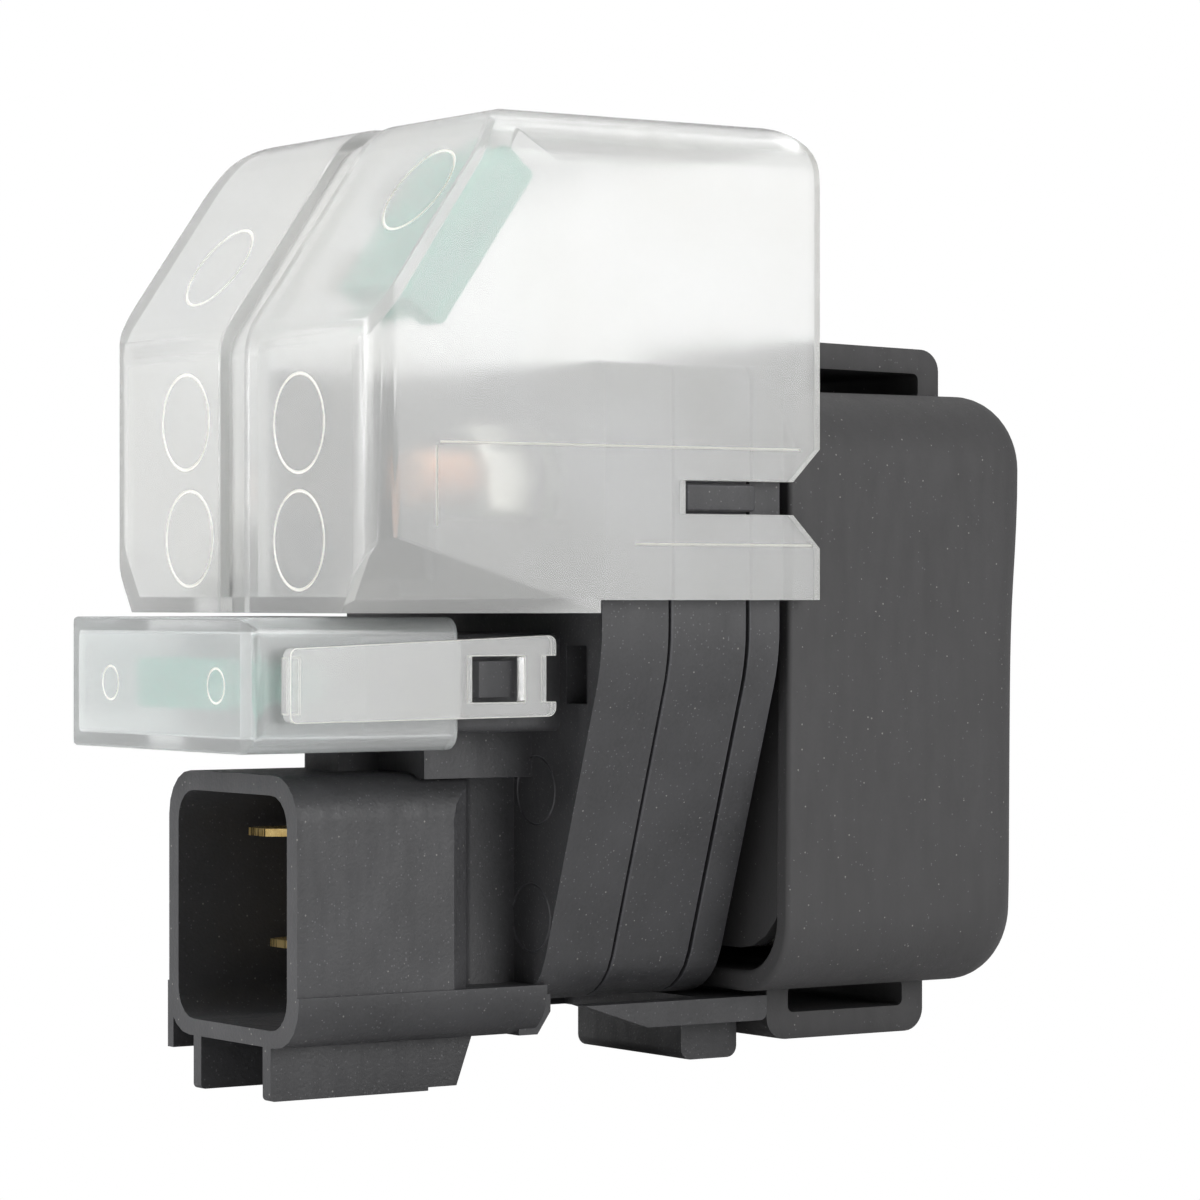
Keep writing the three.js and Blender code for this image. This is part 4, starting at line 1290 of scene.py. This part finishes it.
@dataclass
class Studio:
    """Pale floor, white surround, soft lamps and the camera."""

    lens: float = 132.0
    sensor: float = 36.0
    nearest: float = 0.01
    eye: Point = (-218.25, -390.11, 0.0)
    forward: Point = (0.5592, 0.8290, 0.0)
    floor_height: float = -50.4
    floor_reach: float = 1500.0
    floor_tone: float = 0.9
    ambient: float = 0.16
    seen_through: float = 0.82
    seen_mirrored: float = 0.3
    middle: Point = (40.0, 0.0, 0.0)
    lamps: tuple[Lamp, ...] = (
        Lamp("key", (-740.0, 120.0, 330.0), 0.5, 6.8),
        Lamp("side", (280.0, -640.0, 180.0), 0.45, 2.55),
        Lamp("top", (60.0, 60.0, 620.0), 0.6, 2.2),
    )

    def surround(self) -> None:
        """White for camera rays, dimmer for see-through and mirror rays, and soft light on the object."""
        world = bpy.data.worlds.new("studio")
        bpy.context.scene.world = world
        world.use_nodes = True
        world.node_tree.nodes.clear()
        s = Shader(world.node_tree)
        path = s.node("LightPath")
        through = s.math("MULTIPLY", path.outputs["Is Transmission Ray"], self.seen_through)
        seen = s.math("MAXIMUM", path.outputs["Is Camera Ray"], through)
        mirrored = s.math("MULTIPLY", path.outputs["Is Glossy Ray"], self.seen_mirrored)
        seen = s.math("MAXIMUM", seen, mirrored)
        level = s.spread(seen, 0.0, 1.0, self.ambient, 1.0)
        sky = s.node("Background", {"Color": (1.0, 1.0, 1.0, 1.0), "Strength": level})
        s.node("OutputWorld", {"Surface": sky.outputs[0]})

    def floor(self) -> None:
        """A large pale floor, plain white to camera and see-through rays, that lights the underside."""
        steps = 9
        u = np.linspace(-self.floor_reach, self.floor_reach, steps)
        x, y = np.meshgrid(u, u, indexing="ij")
        points = np.stack([x, y, np.full(x.shape, self.floor_height)], -1).reshape(-1, 3)
        mesh = bpy.data.meshes.new("floor")
        mesh.from_pydata(placed(points).tolist(), [], grid_quads(steps, steps, False))
        item = bpy.data.objects.new("floor", mesh)
        bpy.context.scene.collection.objects.link(item)
        material = bpy.data.materials.new("pale_floor")
        material.use_nodes = True
        material.node_tree.nodes.clear()
        s = Shader(material.node_tree)
        path = s.node("LightPath")
        seen = s.math("MAXIMUM", path.outputs["Is Camera Ray"], path.outputs["Is Transmission Ray"])
        paint = s.node("BsdfDiffuse", {"Color": (self.floor_tone,) * 3 + (1.0,)})
        glow = s.node("Emission", {"Color": (1.0, 1.0, 1.0, 1.0), "Strength": 1.0})
        mixed = s.node("MixShader", {0: seen, 1: paint.outputs[0], 2: glow.outputs[0]})
        s.node("OutputMaterial", {"Surface": mixed.outputs[0]})
        mesh.materials.append(material)

    def camera(self) -> None:
        """The camera, level with the cover's lower edge."""
        data = bpy.data.cameras.new("camera")
        data.lens = self.lens
        data.sensor_width = self.sensor
        data.clip_start = self.nearest
        item = bpy.data.objects.new("camera", data)
        item.location = Vector(placed(np.array(self.eye, float)))
        item.rotation_euler = Vector(self.forward).to_track_quat("-Z", "Y").to_euler()
        bpy.context.scene.collection.objects.link(item)
        bpy.context.scene.camera = item

    def build(self) -> None:
        """Sets the whole studio."""
        bpy.context.scene.view_settings.view_transform = "Standard"
        self.camera()
        self.surround()
        self.floor()
        for lamp in self.lamps:
            lamp.build(self.middle)


def main() -> None:
    """Builds the relay piece by piece and sets the studio."""
    logging.basicConfig(level=logging.INFO, format="%(message)s")
    Studio().build()
    palette = Palette()
    for part in (TerminalHood(), FuseHolder(), ContactorHousing(), Terminals(), MountingBoot()):
        part.build(palette)
        LOG.info("%s done", type(part).__name__)


if __name__ == "__main__":
    main()
